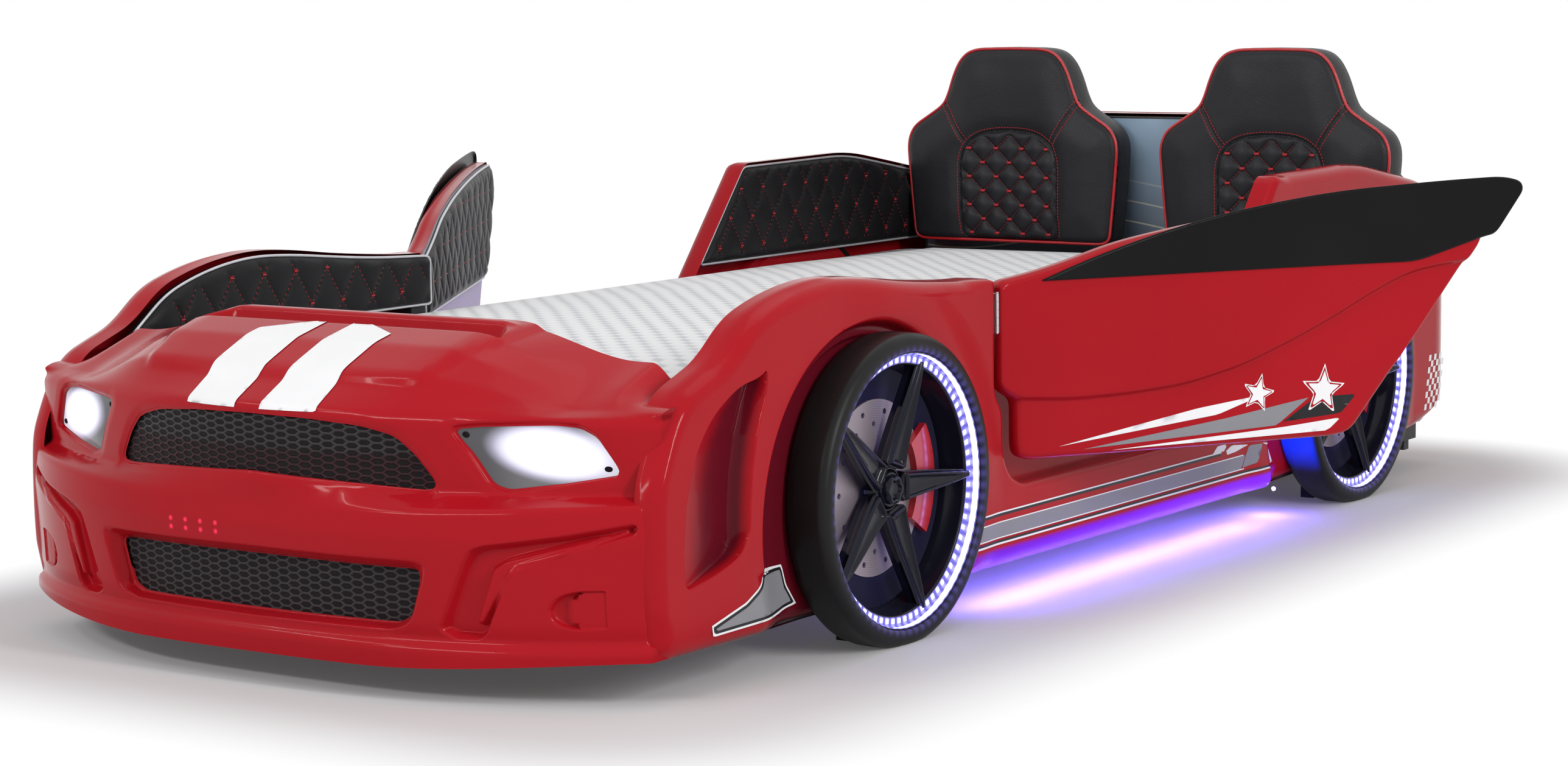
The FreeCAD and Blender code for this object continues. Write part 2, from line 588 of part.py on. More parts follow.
def rim():
    outer = TYRE_BORE - FIT
    depth = TYRE_FACE - RING_WIDTH - 4
    body = Part.makeCylinder(outer, SKIN, V(0, 0, 0), XAX)
    body = body.fuse(tube_x(0, 0, outer, outer - RIM_WALL, 0, depth))
    body = body.fuse(Part.makeCylinder(HUB_RADIUS, HUB_FACE, V(0, 0, 0), XAX))
    reach = outer - RIM_WALL / 2
    for i in range(SPOKES):
        # each spoke carries a narrow ridge along its middle
        for ridge, wide in ((0.0, 1.0), (SPOKE_RIDGE, 0.48)):
            near = spoke_section(12, HUB_FACE - 12, HUB_FACE + ridge, 17 * wide, 11 * wide)
            far = spoke_section(reach, depth - 20, depth - 8 + ridge, 12 * wide, 8 * wide)
            arm = Part.makeLoft([near, far], True, True)
            arm.rotate(V(0, 0, 0), XAX, 360.0 / SPOKES * i)
            body = body.fuse(arm)
    seat = Part.makeCylinder(CAP_RADIUS + FIT, 6 + 2 * SPOKE_RIDGE, V(HUB_FACE - 6, 0, 0), XAX)
    return body.cut(seat)


def led_ring():
    outer = TYRE_BORE - FIT
    start = TYRE_FACE - RING_WIDTH - 4 + FIT
    return tube_x(0, 0, outer, outer - RING_WIDTH, start, start + 5)


def brake_disc():
    disc = tube_x(0, 0, DISC_RADIUS, HUB_RADIUS + 1, SKIN + FIT, SKIN + FIT + 3)
    for i in range(DISC_HOLES):
        angle = 2 * math.pi * i / DISC_HOLES
        r = DISC_RADIUS - (14 if i % 2 else 30)
        hole = Part.makeCylinder(DISC_HOLE_RADIUS, 20, V(0, r * math.cos(angle), r * math.sin(angle)), XAX)
        disc = disc.cut(hole)
    return disc


def caliper():
    start = SKIN + 3 + 2 * FIT
    ring = tube_x(0, 0, DISC_RADIUS + 16, DISC_RADIUS - 24, start, start + 9)
    wedge_points = [(0, 0), (200, -130), (200, 130)]
    wedge = prism_x(wedge_points, 0, 60)
    return ring.common(wedge)


def hub_cap():
    base = Part.makeCylinder(CAP_RADIUS, 5, V(HUB_FACE - 6 + FIT, 0, 0), XAX)
    hexagon = [(14 * math.cos(math.pi / 3 * i), 14 * math.sin(math.pi / 3 * i)) for i in range(6)]
    return base.fuse(prism_x(hexagon, HUB_FACE - 2, HUB_FACE + 9))


# ---- soft pieces ---------------------------------------------------------------------------------
def rounded_rectangle(x, y0, y1, corner, z):
    c = corner * (1 - math.sqrt(0.5))
    p = [V(x, y0 + corner, z), V(x, y1 - corner, z), V(x - c, y1 - c, z), V(x - corner, y1, z),
         V(corner - x, y1, z), V(c - x, y1 - c, z), V(-x, y1 - corner, z), V(-x, y0 + corner, z),
         V(c - x, y0 + c, z), V(corner - x, y0, z), V(x - corner, y0, z), V(x - c, y0 + c, z)]
    edges = [Part.LineSegment(p[0], p[1]), Part.Arc(p[1], p[2], p[3]), Part.LineSegment(p[3], p[4]),
             Part.Arc(p[4], p[5], p[6]), Part.LineSegment(p[6], p[7]), Part.Arc(p[7], p[8], p[9]),
             Part.LineSegment(p[9], p[10]), Part.Arc(p[10], p[11], p[0])]
    return Part.Wire([edge.toShape() for edge in edges])


def mattress():
    half = MATTRESS_WIDTH / 2
    levels = [(0, 12), (14, 2), (MATTRESS_EDGE / 2, 0), (MATTRESS_EDGE - 16, 1), (MATTRESS_EDGE - 4, 9),
              (MATTRESS_EDGE, 20), (MATTRESS_EDGE + MATTRESS_CROWN * 0.6, 80),
              (MATTRESS_EDGE + MATTRESS_CROWN, 240)]
    base = SLAT_TOP + FIT
    wires = [rounded_rectangle(half - inset, Y_BED + inset, Y_BED_END - inset, MATTRESS_CORNER, base + level)
             for level, inset in levels]
    return Part.makeLoft(wires, True, True)


SEAT_OUTLINE = [(0, 347), (180, 347), (188, 352), (197, 430), (203, 500), (201, 520), (190, 540), (160, 558),
                (132, 576), (122, 596), (112, 626), (100, 650), (84, 665), (62, 671), (0, 672)]
SEAT_PANEL = [(0, 352), (92, 352), (92, 478), (84, 505), (62, 522), (30, 530), (0, 532)]


def seat():
    outline = both(SEAT_OUTLINE)
    steps = [(Y_SEAT_BACK - FIT, 0.97), (Y_SEAT_BACK - 8, 1), (Y_SEAT + 14, 1), (Y_SEAT + 9, 0.985),
             (Y_SEAT + 3, 0.9), (Y_SEAT, 0.75)]
    middle = 500.0
    wires = [wire_y([(x * size, middle + (z - middle) * size) for x, z in outline], y) for y, size in steps]
    body = Part.makeLoft(wires, True, True)
    panel = both(SEAT_PANEL)
    field = prism_y(panel, Y_SEAT - 1, Y_SEAT + 2 * SEAT_CHANNEL)
    tall = SEAT_PANEL[-1][1] - SEAT_PANEL[0][1]
    bars = []
    for lean in (SEAT_QUILT_LEAN, -SEAT_QUILT_LEAN):
        for i in range(-6, 7):
            bar = channel_bar(SEAT_CHANNEL, 3 * tall, YAX, lean)
            bar.translate(V(i * SEAT_QUILT_PITCH, Y_SEAT, SEAT_PANEL[0][1] + tall / 2))
            bars.append(bar)
    grooves = Part.makeCompound(bars).common(field)
    seam = prism_y(panel, Y_SEAT - 1, Y_SEAT + SEAT_SEAM)
    seam = seam.cut(prism_y(offset(panel, SEAT_SEAM), Y_SEAT - 2, Y_SEAT + SEAT_SEAM + 1))
    body = body.cut(grooves).cut(seam)
    body.translate(V(SEAT_CENTRE, 0, 0))
    return body


def seat_board():
    board = prism_y(offset(both(SEAT_OUTLINE), 12), Y_SEAT_BACK, Y_SEAT_BACK + SEAT_BOARD - FIT)
    board.translate(V(SEAT_CENTRE, 0, 0))
    return board


# ---- rear ----------------------------------------------------------------------------------------
REAR_TOP = [(430, 440), (412, 458), (396, 474), (360, 500), (300, 538), (250, 556), (190, 562), (0, 562)]
REAR_HALF = X_QUARTER - FIT


REAR_SHELL_LOW = [(0, 62), (REAR_HALF - 20, 62), (REAR_HALF, 102), (REAR_HALF, 428)]


def lowered_top(points, drop):
    """The rear's upper line moved down, so that the shell's edge stands above what it covers."""
    return [(x, z - drop if z > 400 else z) for x, z in points]


def rear_shell():
    steps = [(Y_SHELL + FIT, 0), (Y_REAR - 22, 0), (Y_REAR - 8, 4), (Y_REAR, 16)]
    outline = both(REAR_SHELL_LOW + REAR_TOP)
    body = Part.makeLoft([wire_y(offset(outline, inset), y) for y, inset in steps], True, True)
    inner_steps = [(Y_SHELL, SKIN), (Y_REAR - 23, SKIN), (Y_REAR - 11, SKIN + 4), (Y_REAR - SKIN, SKIN + 16)]
    hollow = Part.makeLoft([wire_y(offset(outline, inset), y) for y, inset in inner_steps], True, True)
    shell = body.cut(hollow)
    inlet = Part.makeCylinder(INLET_RADIUS + FIT, 40, V(INLET_X, Y_REAR - 20, INLET_Z), YAX)
    return shell.cut(inlet)


def headboard():
    points = [(0, FOOT_HEIGHT), (X_BOARD - FIT, FOOT_HEIGHT), (X_BOARD - FIT, SIDE_BOARD_TOP + FIT),
              (X_BOARD_OUT, SIDE_BOARD_TOP + FIT), (X_BOARD_OUT, 428)] + REAR_TOP
    return prism_y(both(lowered_top(points, 5)), Y_REAR_BOARD, Y_SHELL)


def picture_panel():
    inner = X_QUARTER - QUARTER_PAD - 2
    low = SLAT_TOP + 15
    points = [(0, low), (X_BOARD - FIT, low), (X_BOARD - FIT, SIDE_BOARD_TOP + FIT),
              (inner, SIDE_BOARD_TOP + FIT), (inner, 424)] + [(min(x, inner), z) for x, z in REAR_TOP]
    return prism_y(both(lowered_top(points, 8)), Y_PANEL, Y_REAR_BOARD - FIT)


def power_inlet():
    """Barrel socket for the lamps' low-voltage supply, in the rear shell."""
    body = Part.makeCylinder(INLET_RADIUS, 24, V(INLET_X, Y_REAR - 22, INLET_Z), YAX)
    flange = Part.makeCylinder(INLET_RADIUS + 3, 2, V(INLET_X, Y_REAR - SKIN - 2 - FIT, INLET_Z), YAX)
    bore = Part.makeCylinder(INLET_BORE, 14, V(INLET_X, Y_REAR - 10, INLET_Z), YAX)
    tip = box(INLET_X - 20, INLET_X + 20, Y_REAR, Y_REAR + 20, INLET_Z - 20, INLET_Z + 20)
    return body.fuse(flange).cut(bore).cut(tip)


# ---- base ----------------------------------------------------------------------------------------
def side_board():
    return box(X_BOARD, X_BOARD_OUT, Y_FRONT_BOARD, Y_SHELL, FOOT_HEIGHT, SIDE_BOARD_TOP)


def front_board():
    blank = box(FIT - X_BOARD, X_BOARD - FIT, Y_FRONT_BOARD, Y_FRONT_BOARD + BOARD, 60, PAD_BOTTOM - 5)
    top = box(FIT - X_ROLL, X_ROLL - FIT, Y_FRONT_BOARD, Y_FRONT_BOARD + BOARD, PAD_BOTTOM - 5, 600)
    return blank.fuse(top).common(nose_core(SKIN + FIT))


def slats():
    pieces = []
    count = int((MATTRESS_LENGTH - SLAT_WIDTH) // SLAT_PITCH) + 1
    start = (Y_BED + Y_BED_END) / 2 - SLAT_PITCH * (count - 1) / 2
    for i in range(count):
        y = start + i * SLAT_PITCH
        pieces.append(box(4 - X_BOARD, X_BOARD - 4, y - SLAT_WIDTH / 2, y + SLAT_WIDTH / 2,
                          BATTEN_TOP, SLAT_TOP))
    return group(pieces)


def battens():
    strip = box(X_BOARD - BATTEN, X_BOARD, Y_BED + 4, Y_BED_END + 40, BATTEN_TOP - BATTEN, BATTEN_TOP)
    return group([strip, mirrored(strip)])


def centre_beam():
    return box(-BEAM_WIDTH / 2, BEAM_WIDTH / 2, Y_FRONT_BOARD + BOARD + FIT, Y_REAR_BOARD - FIT,
               BATTEN_TOP - BEAM_HEIGHT, BATTEN_TOP)


def leg_places():
    middle = (Y_AXLES[0] + Y_AXLES[1]) / 2
    return [(0, Y_AXLES[0]), (0, middle), (0, Y_AXLES[1])]


def legs():
    half = LEG_SIZE / 2
    return group([box(x - half, x + half, y - half, y + half, FOOT_PAD, BATTEN_TOP - BEAM_HEIGHT)
                  for x, y in leg_places()])


def feet():
    half = LEG_SIZE / 2
    pieces = [box(x - half, x + half, y - half, y + half, 0, FOOT_PAD) for x, y in leg_places()]
    for side in (1, -1):
        for y in Y_AXLES:
            x0, x1 = sorted((side * (X_BOARD - 6), side * (X_BOARD_OUT + 2)))
            pieces.append(box(x0, x1, y - FOOT_LENGTH / 2, y + FOOT_LENGTH / 2, 0, FOOT_HEIGHT))
    return group(pieces)


def underglow():
    start = X_BOARD_OUT + FIT
    low = FOOT_HEIGHT + 3
    strip = box(start, start + STRIP_DEPTH, Y_AXLES[0] + 120, Y_AXLES[1] + 80, low, low + STRIP_HEIGHT)
    return group([strip, mirrored(strip)])


def led_driver():
    width, depth, height = DRIVER
    case = box(INLET_X - width / 2, INLET_X + width / 2, Y_REAR_BOARD - depth, Y_REAR_BOARD - FIT,
               INLET_Z - height / 2, INLET_Z + height / 2)
    return case.makeFillet(4, [e for e in case.Edges if abs(e.Vertexes[0].Y - e.Vertexes[1].Y) > 1])


def frame_bolts():
    """Bolt heads that hold the side boards to the front board and the rear board."""
    heads = []
    for side in (1, -1):
        for y in (Y_FRONT_BOARD + BOARD / 2, Y_REAR_BOARD + REAR_BOARD / 2):
            for z in BOLT_ROWS:
                head = Part.makeCylinder(BOLT_HEAD, BOLT_HEAD_DEPTH, V(0, 0, 0), XAX)
                head.translate(V(X_BOARD_OUT + FIT, y, z))
                heads.append(head if side > 0 else mirrored(head))
    return group(heads)


# ---- the bed -------------------------------------------------------------------------------------
save("front_shell", front_shell())
save("upper_grille", behind(UPPER_GRILLE, GRILLE_SET_BACK + SKIN + FIT, GRILLE, -SKIN))
save("lower_grille", behind(LOWER_RECESS, LOWER_GRILLE_SET_BACK + SKIN + FIT, GRILLE, -SKIN))
for side, sign in SIDES:
    save(side + "_headlight_lens", behind(HEADLIGHT, LENS_SET_BACK + SKIN + FIT, LENS, -SKIN, sign))
    save(side + "_headlight_lamp", lamp_housing(sign))
screws = []
for side, sign in SIDES:
    for x, z in LENS_SCREWS:
        rod = Part.makeCylinder(SCREW_RADIUS, Y_THROUGH[1] - Y_THROUGH[0], V(sign * x, Y_THROUGH[0], z), YAX)
        screws.append(under_skin(rod, LENS_SET_BACK + SKIN - 2, LENS_SET_BACK + SKIN))
save("lens_screws", group(screws))
lamps = []
for i in range(LED_COLUMNS):
    for z in LED_ROWS:
        rod = Part.makeCylinder(LED_RADIUS, 400, V(LED_START + LED_PITCH * i, Y_FRONT - 20, z), YAX)
        lamps.append(under_skin(rod, SKIN + FIT, SKIN + FIT + 4))
save("indicator_lamps", group(lamps))
save("front_board", front_board())

save_pair("side_shell", side_shell())
save_pair("side_board", side_board())
save("hinge_posts", group([hinge_post(), mirrored(hinge_post())]))
save_pair("fender_pad", fender_pad())
save_pair("quarter_pad", quarter_pad())

tyre_shape, rim_shape = tyre(), rim()
discs, calipers, caps, rings = [], [], [], []
for index, place in enumerate(("front", "rear")):
    save(place + "_left_tyre", at_wheel(tyre_shape, index))
    save(place + "_right_tyre", mirrored(at_wheel(tyre_shape, index)))
    save(place + "_left_rim", at_wheel(rim_shape, index))
    save(place + "_right_rim", mirrored(at_wheel(rim_shape, index)))
    for pieces, shape in ((discs, brake_disc()), (calipers, caliper()), (caps, hub_cap()),
                          (rings, led_ring())):
        pieces.append(at_wheel(shape, index))
        pieces.append(mirrored(at_wheel(shape, index)))
save("brake_discs", group(discs))
save("brake_calipers", group(calipers))
save("hub_caps", group(caps))
save("wheel_lamp_rings", group(rings))

save_pair("door_shell", opened(door_shell()))
save_pair("door_board", opened(door_board()))
save_pair("door_pad", opened(door_pad()))
save_pair("door_wing", opened(door_wing()))
save_pair("hinge_door_leaf", opened(hinge(1)))
save_pair("hinge_body_leaf", hinge(-1))
save("hinge_pins", group([hinge_pin(), mirrored(hinge_pin())]))

save_pair("seat", seat())
save("seat_boards", group([seat_board(), mirrored(seat_board())]))
save("mattress", mattress())
save("headboard", headboard())
save("picture_panel", picture_panel())
save("rear_shell", rear_shell())
save("power_inlet", power_inlet())
save("led_driver", led_driver())

save("slats", slats())
save("slat_battens", battens())
save("centre_beam", centre_beam())
save("legs", legs())
save("feet", feet())
save("underglow_strips", underglow())
save("frame_bolts", frame_bolts())
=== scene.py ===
import json
import math
import bpy
import numpy as np
from mathutils import Matrix, Vector
from mathutils.geometry import delaunay_2d_cdt


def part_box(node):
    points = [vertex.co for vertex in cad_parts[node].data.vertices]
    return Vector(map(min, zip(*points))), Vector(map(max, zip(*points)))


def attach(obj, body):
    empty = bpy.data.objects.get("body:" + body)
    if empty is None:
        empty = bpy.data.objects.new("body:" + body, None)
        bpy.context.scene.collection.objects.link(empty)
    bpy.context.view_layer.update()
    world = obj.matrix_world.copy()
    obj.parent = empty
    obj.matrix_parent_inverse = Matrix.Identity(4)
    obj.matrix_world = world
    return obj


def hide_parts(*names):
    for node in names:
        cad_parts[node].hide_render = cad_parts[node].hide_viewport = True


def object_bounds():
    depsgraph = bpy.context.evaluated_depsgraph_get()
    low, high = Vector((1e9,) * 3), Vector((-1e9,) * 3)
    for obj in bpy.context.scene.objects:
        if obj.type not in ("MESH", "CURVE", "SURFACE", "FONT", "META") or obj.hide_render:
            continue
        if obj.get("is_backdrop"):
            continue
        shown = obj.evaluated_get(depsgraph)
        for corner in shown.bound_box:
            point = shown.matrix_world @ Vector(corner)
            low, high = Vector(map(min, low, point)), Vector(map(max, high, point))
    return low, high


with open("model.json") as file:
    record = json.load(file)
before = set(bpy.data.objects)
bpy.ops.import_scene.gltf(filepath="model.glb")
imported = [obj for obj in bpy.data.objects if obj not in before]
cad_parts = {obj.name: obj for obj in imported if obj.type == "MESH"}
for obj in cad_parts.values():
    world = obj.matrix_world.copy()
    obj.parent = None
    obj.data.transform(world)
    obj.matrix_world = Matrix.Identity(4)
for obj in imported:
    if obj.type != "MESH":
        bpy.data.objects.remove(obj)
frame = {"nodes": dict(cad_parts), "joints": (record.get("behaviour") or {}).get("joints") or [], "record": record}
cad_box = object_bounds()

# ---- camera and studio ---------------------------------------------------------------------------
# A long lens low over the bed's left front corner. The room is a plain pale floor that fades into
# a white backdrop, with soft lamps overhead, on the left and in front, and a narrow one on the right.
LENS_MM = 78.03
CAMERA_AT = Vector((2.6651, -3.9926, 0.8038))
YAW, PITCH, ROLL = (math.radians(a) for a in (34.116, 6.882, -0.692))

forward = Vector((-math.sin(YAW) * math.cos(PITCH), math.cos(YAW) * math.cos(PITCH), -math.sin(PITCH)))
level = Vector((math.cos(YAW), math.sin(YAW), 0))
over = level.cross(forward)
right = level * math.cos(ROLL) + over * math.sin(ROLL)
up = over * math.cos(ROLL) - level * math.sin(ROLL)
camera = bpy.data.objects.new("camera", bpy.data.cameras.new("camera"))
camera.data.lens = LENS_MM
camera.data.sensor_width = 36
camera.matrix_world = Matrix.Translation(CAMERA_AT) @ Matrix((right, up, -forward)).transposed().to_4x4()
bpy.context.scene.collection.objects.link(camera)
bpy.context.scene.camera = camera
bpy.context.scene.view_settings.view_transform = "Standard"


class Field:
    """A socket in a node tree. Arithmetic on it adds Math nodes."""

    def __init__(self, tree, socket=None):
        self.tree, self.socket = tree, socket

    def node(self, kind, settings=None, inputs=None, output=0):
        """Adds a node: its settings first, then the values or links of its inputs."""
        made = self.tree.nodes.new("ShaderNode" + kind)
        for name, value in (settings or {}).items():
            setattr(made, name, value)
        for name, value in (inputs or {}).items():
            if isinstance(value, Field):
                self.tree.links.new(value.socket, made.inputs[name])
            else:
                made.inputs[name].default_value = value
        return Field(self.tree, made.outputs[output])

    def math(self, operation, *others):
        return self.node("Math", {"operation": operation}, dict(enumerate((self, *others))))

    def __add__(self, other):
        return self.math("ADD", other)

    def __sub__(self, other):
        return self.math("SUBTRACT", other)

    def __rsub__(self, other):
        return self.node("Math", {"operation": "SUBTRACT"}, {0: other, 1: self})

    def __mul__(self, other):
        return self.math("MULTIPLY", other)

    def __truediv__(self, other):
        return self.math("DIVIDE", other)

    def __lt__(self, other):
        return self.math("LESS_THAN", other)

    def __gt__(self, other):
        return self.math("GREATER_THAN", other)

    def __abs__(self):
        return self.math("ABSOLUTE")

    __radd__ = __add__
    __rmul__ = __mul__

    def place(self):
        """The point's own coordinates, in millimetres, as three fields."""
        at = self.node("TexCoord", output="Object")
        axes = self.node("SeparateXYZ", inputs={0: at}).socket.node.outputs
        return [Field(self.tree, axis) * 1000 for axis in axes]

    def noise(self, scale, detail=2.0, roughness=0.5):
        return self.node("TexNoise", None, {"Vector": self.node("TexCoord", output="Object"), "Scale": scale,
                                            "Detail": detail, "Roughness": roughness})

    def fade(self, low, high):
        """0 below low, 1 above high, and smooth between them."""
        return self.node("MapRange", {"interpolation_type": "SMOOTHSTEP"},
                         {"Value": self, "From Min": low, "From Max": high})

    def mix(self, a, b):
        """Colour a where this field is 0, and b where it is 1."""
        a, b = (c if isinstance(c, Field) else (*c, 1) for c in (a, b))
        return self.node("Mix", {"data_type": "RGBA"}, {"Factor": self, 6: a, 7: b}, output=2)

    def bump(self, strength, distance):
        return self.node("Bump", None, {"Height": self, "Strength": strength, "Distance": distance})


def seen(field):
    """1 where the camera, a mirror or a glass looks at the surface, and 0 for the light it gives."""
    node = field.node("LightPath").socket.node
    camera_ray, glossy, glass = (Field(field.tree, node.outputs[name])
                                 for name in ("Is Camera Ray", "Is Glossy Ray", "Is Transmission Ray"))
    rays = camera_ray + glossy + glass
    return rays.math("MINIMUM", 1)


FLOOR_SIZE = 60.0
FLOOR_DROP = 0.0005
FLOOR_GLOW = 0.06            # share of plain white that the camera sees in the floor
BED_HALF = (400.0, 1000.0)   # the shaded part of the floor is round this rectangle
SHADOW_REACH = (200.0, 480.0)


def floor_material():
    made = bpy.data.materials.new("studio_floor")
    made.use_nodes = True
    field = Field(made.node_tree)
    x, y, _ = field.place()
    beside = (abs(x) - BED_HALF[0]).math("MAXIMUM", 0)
    before = (abs(y) - BED_HALF[1]).math("MAXIMUM", 0)
    far = (beside * beside + before * before).math("SQRT").fade(*SHADOW_REACH)
    white = field.node("Emission", None, {"Color": (1, 1, 1, 1), "Strength": 1.0})
    paper = field.node("BsdfDiffuse", None, {"Color": (0.70, 0.69, 0.70, 1)})
    share = seen(field) * (far + FLOOR_GLOW).math("MINIMUM", 1)
    look = field.node("MixShader", None, {0: share, 1: paper, 2: white})
    made.node_tree.links.new(look.socket, made.node_tree.nodes["Material Output"].inputs["Surface"])
    return made


half = FLOOR_SIZE / 2
floor_mesh = bpy.data.meshes.new("floor")
corners = [(-half, -half, 0), (half, -half, 0), (half, half, 0), (-half, half, 0)]
floor_mesh.from_pydata(corners, [], [(0, 1, 2, 3)])
floor = bpy.data.objects.new("floor", floor_mesh)
floor.data.materials.append(floor_material())
floor.location.z = -FLOOR_DROP
bpy.context.scene.collection.objects.link(floor)
floor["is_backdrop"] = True

WORLD_LIGHT = 0.54
world = bpy.data.worlds.new("studio")
bpy.context.scene.world = world
world.use_nodes = True
air = Field(world.node_tree)
strength = seen(air) * (1 - WORLD_LIGHT) + WORLD_LIGHT
world.node_tree.links.new(strength.socket, world.node_tree.nodes["Background"].inputs["Strength"])
world.node_tree.nodes["Background"].inputs["Color"].default_value = (1, 1, 1, 1)

for label, place, aim, size, watts in (
    ("overhead", (0.2, 0.6, 3.2), (0, 0.3, 0), (2.2, 1.6), 6),
    ("strip", (-1.65, -2.5, 2.4), (0, -1.1, 0.3), (1.6, 0.07), 8),
    ("left", (3.6, -1.2, 1.9), (0, 0.2, 0.3), (0.4, 1.8), 60),
    ("front", (-0.6, -4.2, 2.2), (0, -0.6, 0.3), (2.0, 0.3), 42),
):
    lamp = bpy.data.objects.new("lamp_" + label, bpy.data.lights.new("lamp_" + label, "AREA"))
    lamp.data.shape = "RECTANGLE"
    lamp.data.size, lamp.data.size_y = size
    lamp.data.energy = watts
    lamp.location = place
    lamp.rotation_euler = (Vector(aim) - Vector(place)).to_track_quat("-Z", "Y").to_euler()
    bpy.context.scene.collection.objects.link(lamp)

# ---- nose ----------------------------------------------------------------------------------------
# Hood and bumper are one vacuum-formed moulding of glossy red plastic, 4 mm thick, held to the
# front board. Grilles and lamps sit behind openings in it; vents and fog pockets are only pressed.
MM = 0.001
Y_FRONT = cad_box[0].y / MM
Y_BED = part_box("mattress")[0].y / MM
NOSE_LENGTH = Y_BED - Y_FRONT
NOSE_HALF_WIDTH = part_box("front_shell")[1].x / MM
NOSE_SPAN = 478.0            # from the middle to the ends of the bumper's curve
BUMPER_SWEEP = 130.0
HOOD_SWEEP = 150.0
MOULD_RADIUS = 3.6           # how softly the plastic follows the mould's edges


def ease(t):
    t = np.clip(t, 0, 1)
    return t * t * (3 - 2 * t)


def mix(a, b, t):
    return a + (b - a) * t


def rounded(outline, cut):
    """A closed outline with each corner cut back and rounded."""
    points = np.array(outline, float)
    cuts = np.broadcast_to(cut, len(points))
    curve = []
    for i, corner in enumerate(points):
        before, after = points[i - 1] - corner, points[(i + 1) % len(points)] - corner
        lengths = np.linalg.norm(before), np.linalg.norm(after)
        start = corner + before * min(cuts[i] / lengths[0], 0.48)
        end = corner + after * min(cuts[i] / lengths[1], 0.48)
        for t in np.linspace(0, 1, 6):
            curve.append((1 - t) ** 2 * start + 2 * t * (1 - t) * corner + t * t * end)
    return np.array(curve)


def spaced(points, step, closed=True):
    """The same line as evenly spaced points."""
    line = np.vstack([points, points[:1]]) if closed else np.array(points, float)
    along = np.concatenate([[0], np.cumsum(np.linalg.norm(np.diff(line, axis=0), axis=1))])
    count = max(int(along[-1] / step), 3)
    places = np.linspace(0, along[-1], count + 1)
    if closed:
        places = places[:-1]
    return np.stack([np.interp(places, along, line[:, k]) for k in range(line.shape[1])], axis=1)


def grid_of(xs, ys):
    """Every pairing of two lists of coordinates, as points."""
    gx, gy = np.meshgrid(xs, ys)
    return np.stack([gx.ravel(), gy.ravel()], axis=1)


def distance(points, outline):
    """Distance to a closed outline, negative inside."""
    a, b = outline, np.roll(outline, -1, axis=0)
    found = np.empty(len(points))
    for i in range(0, len(points), 4000):
        p = points[i:i + 4000, None, :]
        ab = (b - a)[None]
        t = np.clip(((p - a) * ab).sum(2) / np.maximum((ab * ab).sum(2), 1e-12), 0, 1)
        near = np.sqrt((((p - a) - ab * t[..., None]) ** 2).sum(2)).min(1)
        rises = (a[None, :, 1] > p[..., 1]) != (b[None, :, 1] > p[..., 1])
        with np.errstate(divide="ignore", invalid="ignore"):
            cross = a[None, :, 0] + (p[..., 1] - a[None, :, 1]) * ab[..., 0] / ab[..., 1]
        inside = (rises & (p[..., 0] < cross)).sum(1) % 2 == 1
        found[i:i + 4000] = np.where(inside, -near, near)
    return found


def ring(outline, offset, step):
    """Points at one distance from an outline, outside it for a positive distance."""
    line = spaced(outline, step)
    ahead = np.roll(line, -1, axis=0) - np.roll(line, 1, axis=0)
    out = np.stack([ahead[:, 1], -ahead[:, 0]], axis=1)
    out /= np.maximum(np.linalg.norm(out, axis=1), 1e-9)[:, None]
    if distance(line[:1] + out[:1] * 0.5, outline)[0] < 0:
        out = -out
    moved = line + out * offset
    return moved[np.abs(distance(moved, outline) - offset) < 0.15 * abs(offset) + 0.05]


def tessellate(outline, spacing, lines=(), holes=(), grid=None, edge_step=None):
    """Triangles that fill an outline, with points along the given (outline, offsets, step) lines.

    Returns points, triangles, and the loops of point numbers round the outline and the holes.
    """
    edge_step = edge_step or spacing / 2
    loops = [spaced(line, edge_step) for line in (outline, *holes)]
    fixed = np.vstack(loops)
    edges, start = [], 0
    for loop in loops:
        n = len(loop)
        edges += [(start + i, start + (i + 1) % n) for i in range(n)]
        start += n
    if grid is None:
        low, high = outline.min(0), outline.max(0)
        grid = grid_of(np.arange(low[0], high[0], spacing), np.arange(low[1], high[1], spacing))
    kept = np.ones(len(grid), bool)
    loose = []
    for line, offsets, step in lines:
        found = distance(grid, line)
        for offset in offsets:
            loose.append(ring(line, offset, step) if offset else spaced(line, step))
            kept &= np.abs(found - offset) > 0.45 * min(step, spacing)
    loose = np.vstack([*loose, grid[kept]])
    gap = edge_step * 0.4
    keep = distance(loose, outline) < -gap
    for hole in holes:
        keep &= distance(loose, hole) > gap
    loose = loose[keep]
    _, first = np.unique(np.round(loose / 0.7).astype(int), axis=0, return_index=True)
    loose = loose[np.sort(first)]
    places = [Vector(p) for p in np.vstack([fixed, loose])]
    points, _, faces, origin, _, _ = delaunay_2d_cdt(places, edges, [], 0, 1e-4)
    points = np.array([tuple(p) for p in points])
    faces = np.array([f for f in faces if len(f) == 3])
    middles = points[faces].mean(axis=1)
    good = distance(middles, outline) < 0
    for hole in holes:
        good &= distance(middles, hole) > 0
    number = {}
    for new, olds in enumerate(origin):
        for old in olds:
            number[old] = new
    found, start = [], 0
    for loop in loops:
        found.append([number[start + i] for i in range(len(loop))])
        start += len(loop)
    return points, faces[good], found


def facing(surface, flat, loops=(), extra=0):
    """Normals of a surface function at flat points, with rows of the edges' normals for a skirt."""
    a, b = flat.T
    e = 0.35
    across = surface(a + e, b) - surface(a - e, b)
    along = surface(a, b + e) - surface(a, b - e)
    found = np.cross(across, along)
    found /= np.maximum(np.linalg.norm(found, axis=1), 1e-9)[:, None]
    return np.vstack([found] + [found[loop] for loop in loops for _ in range(extra)])


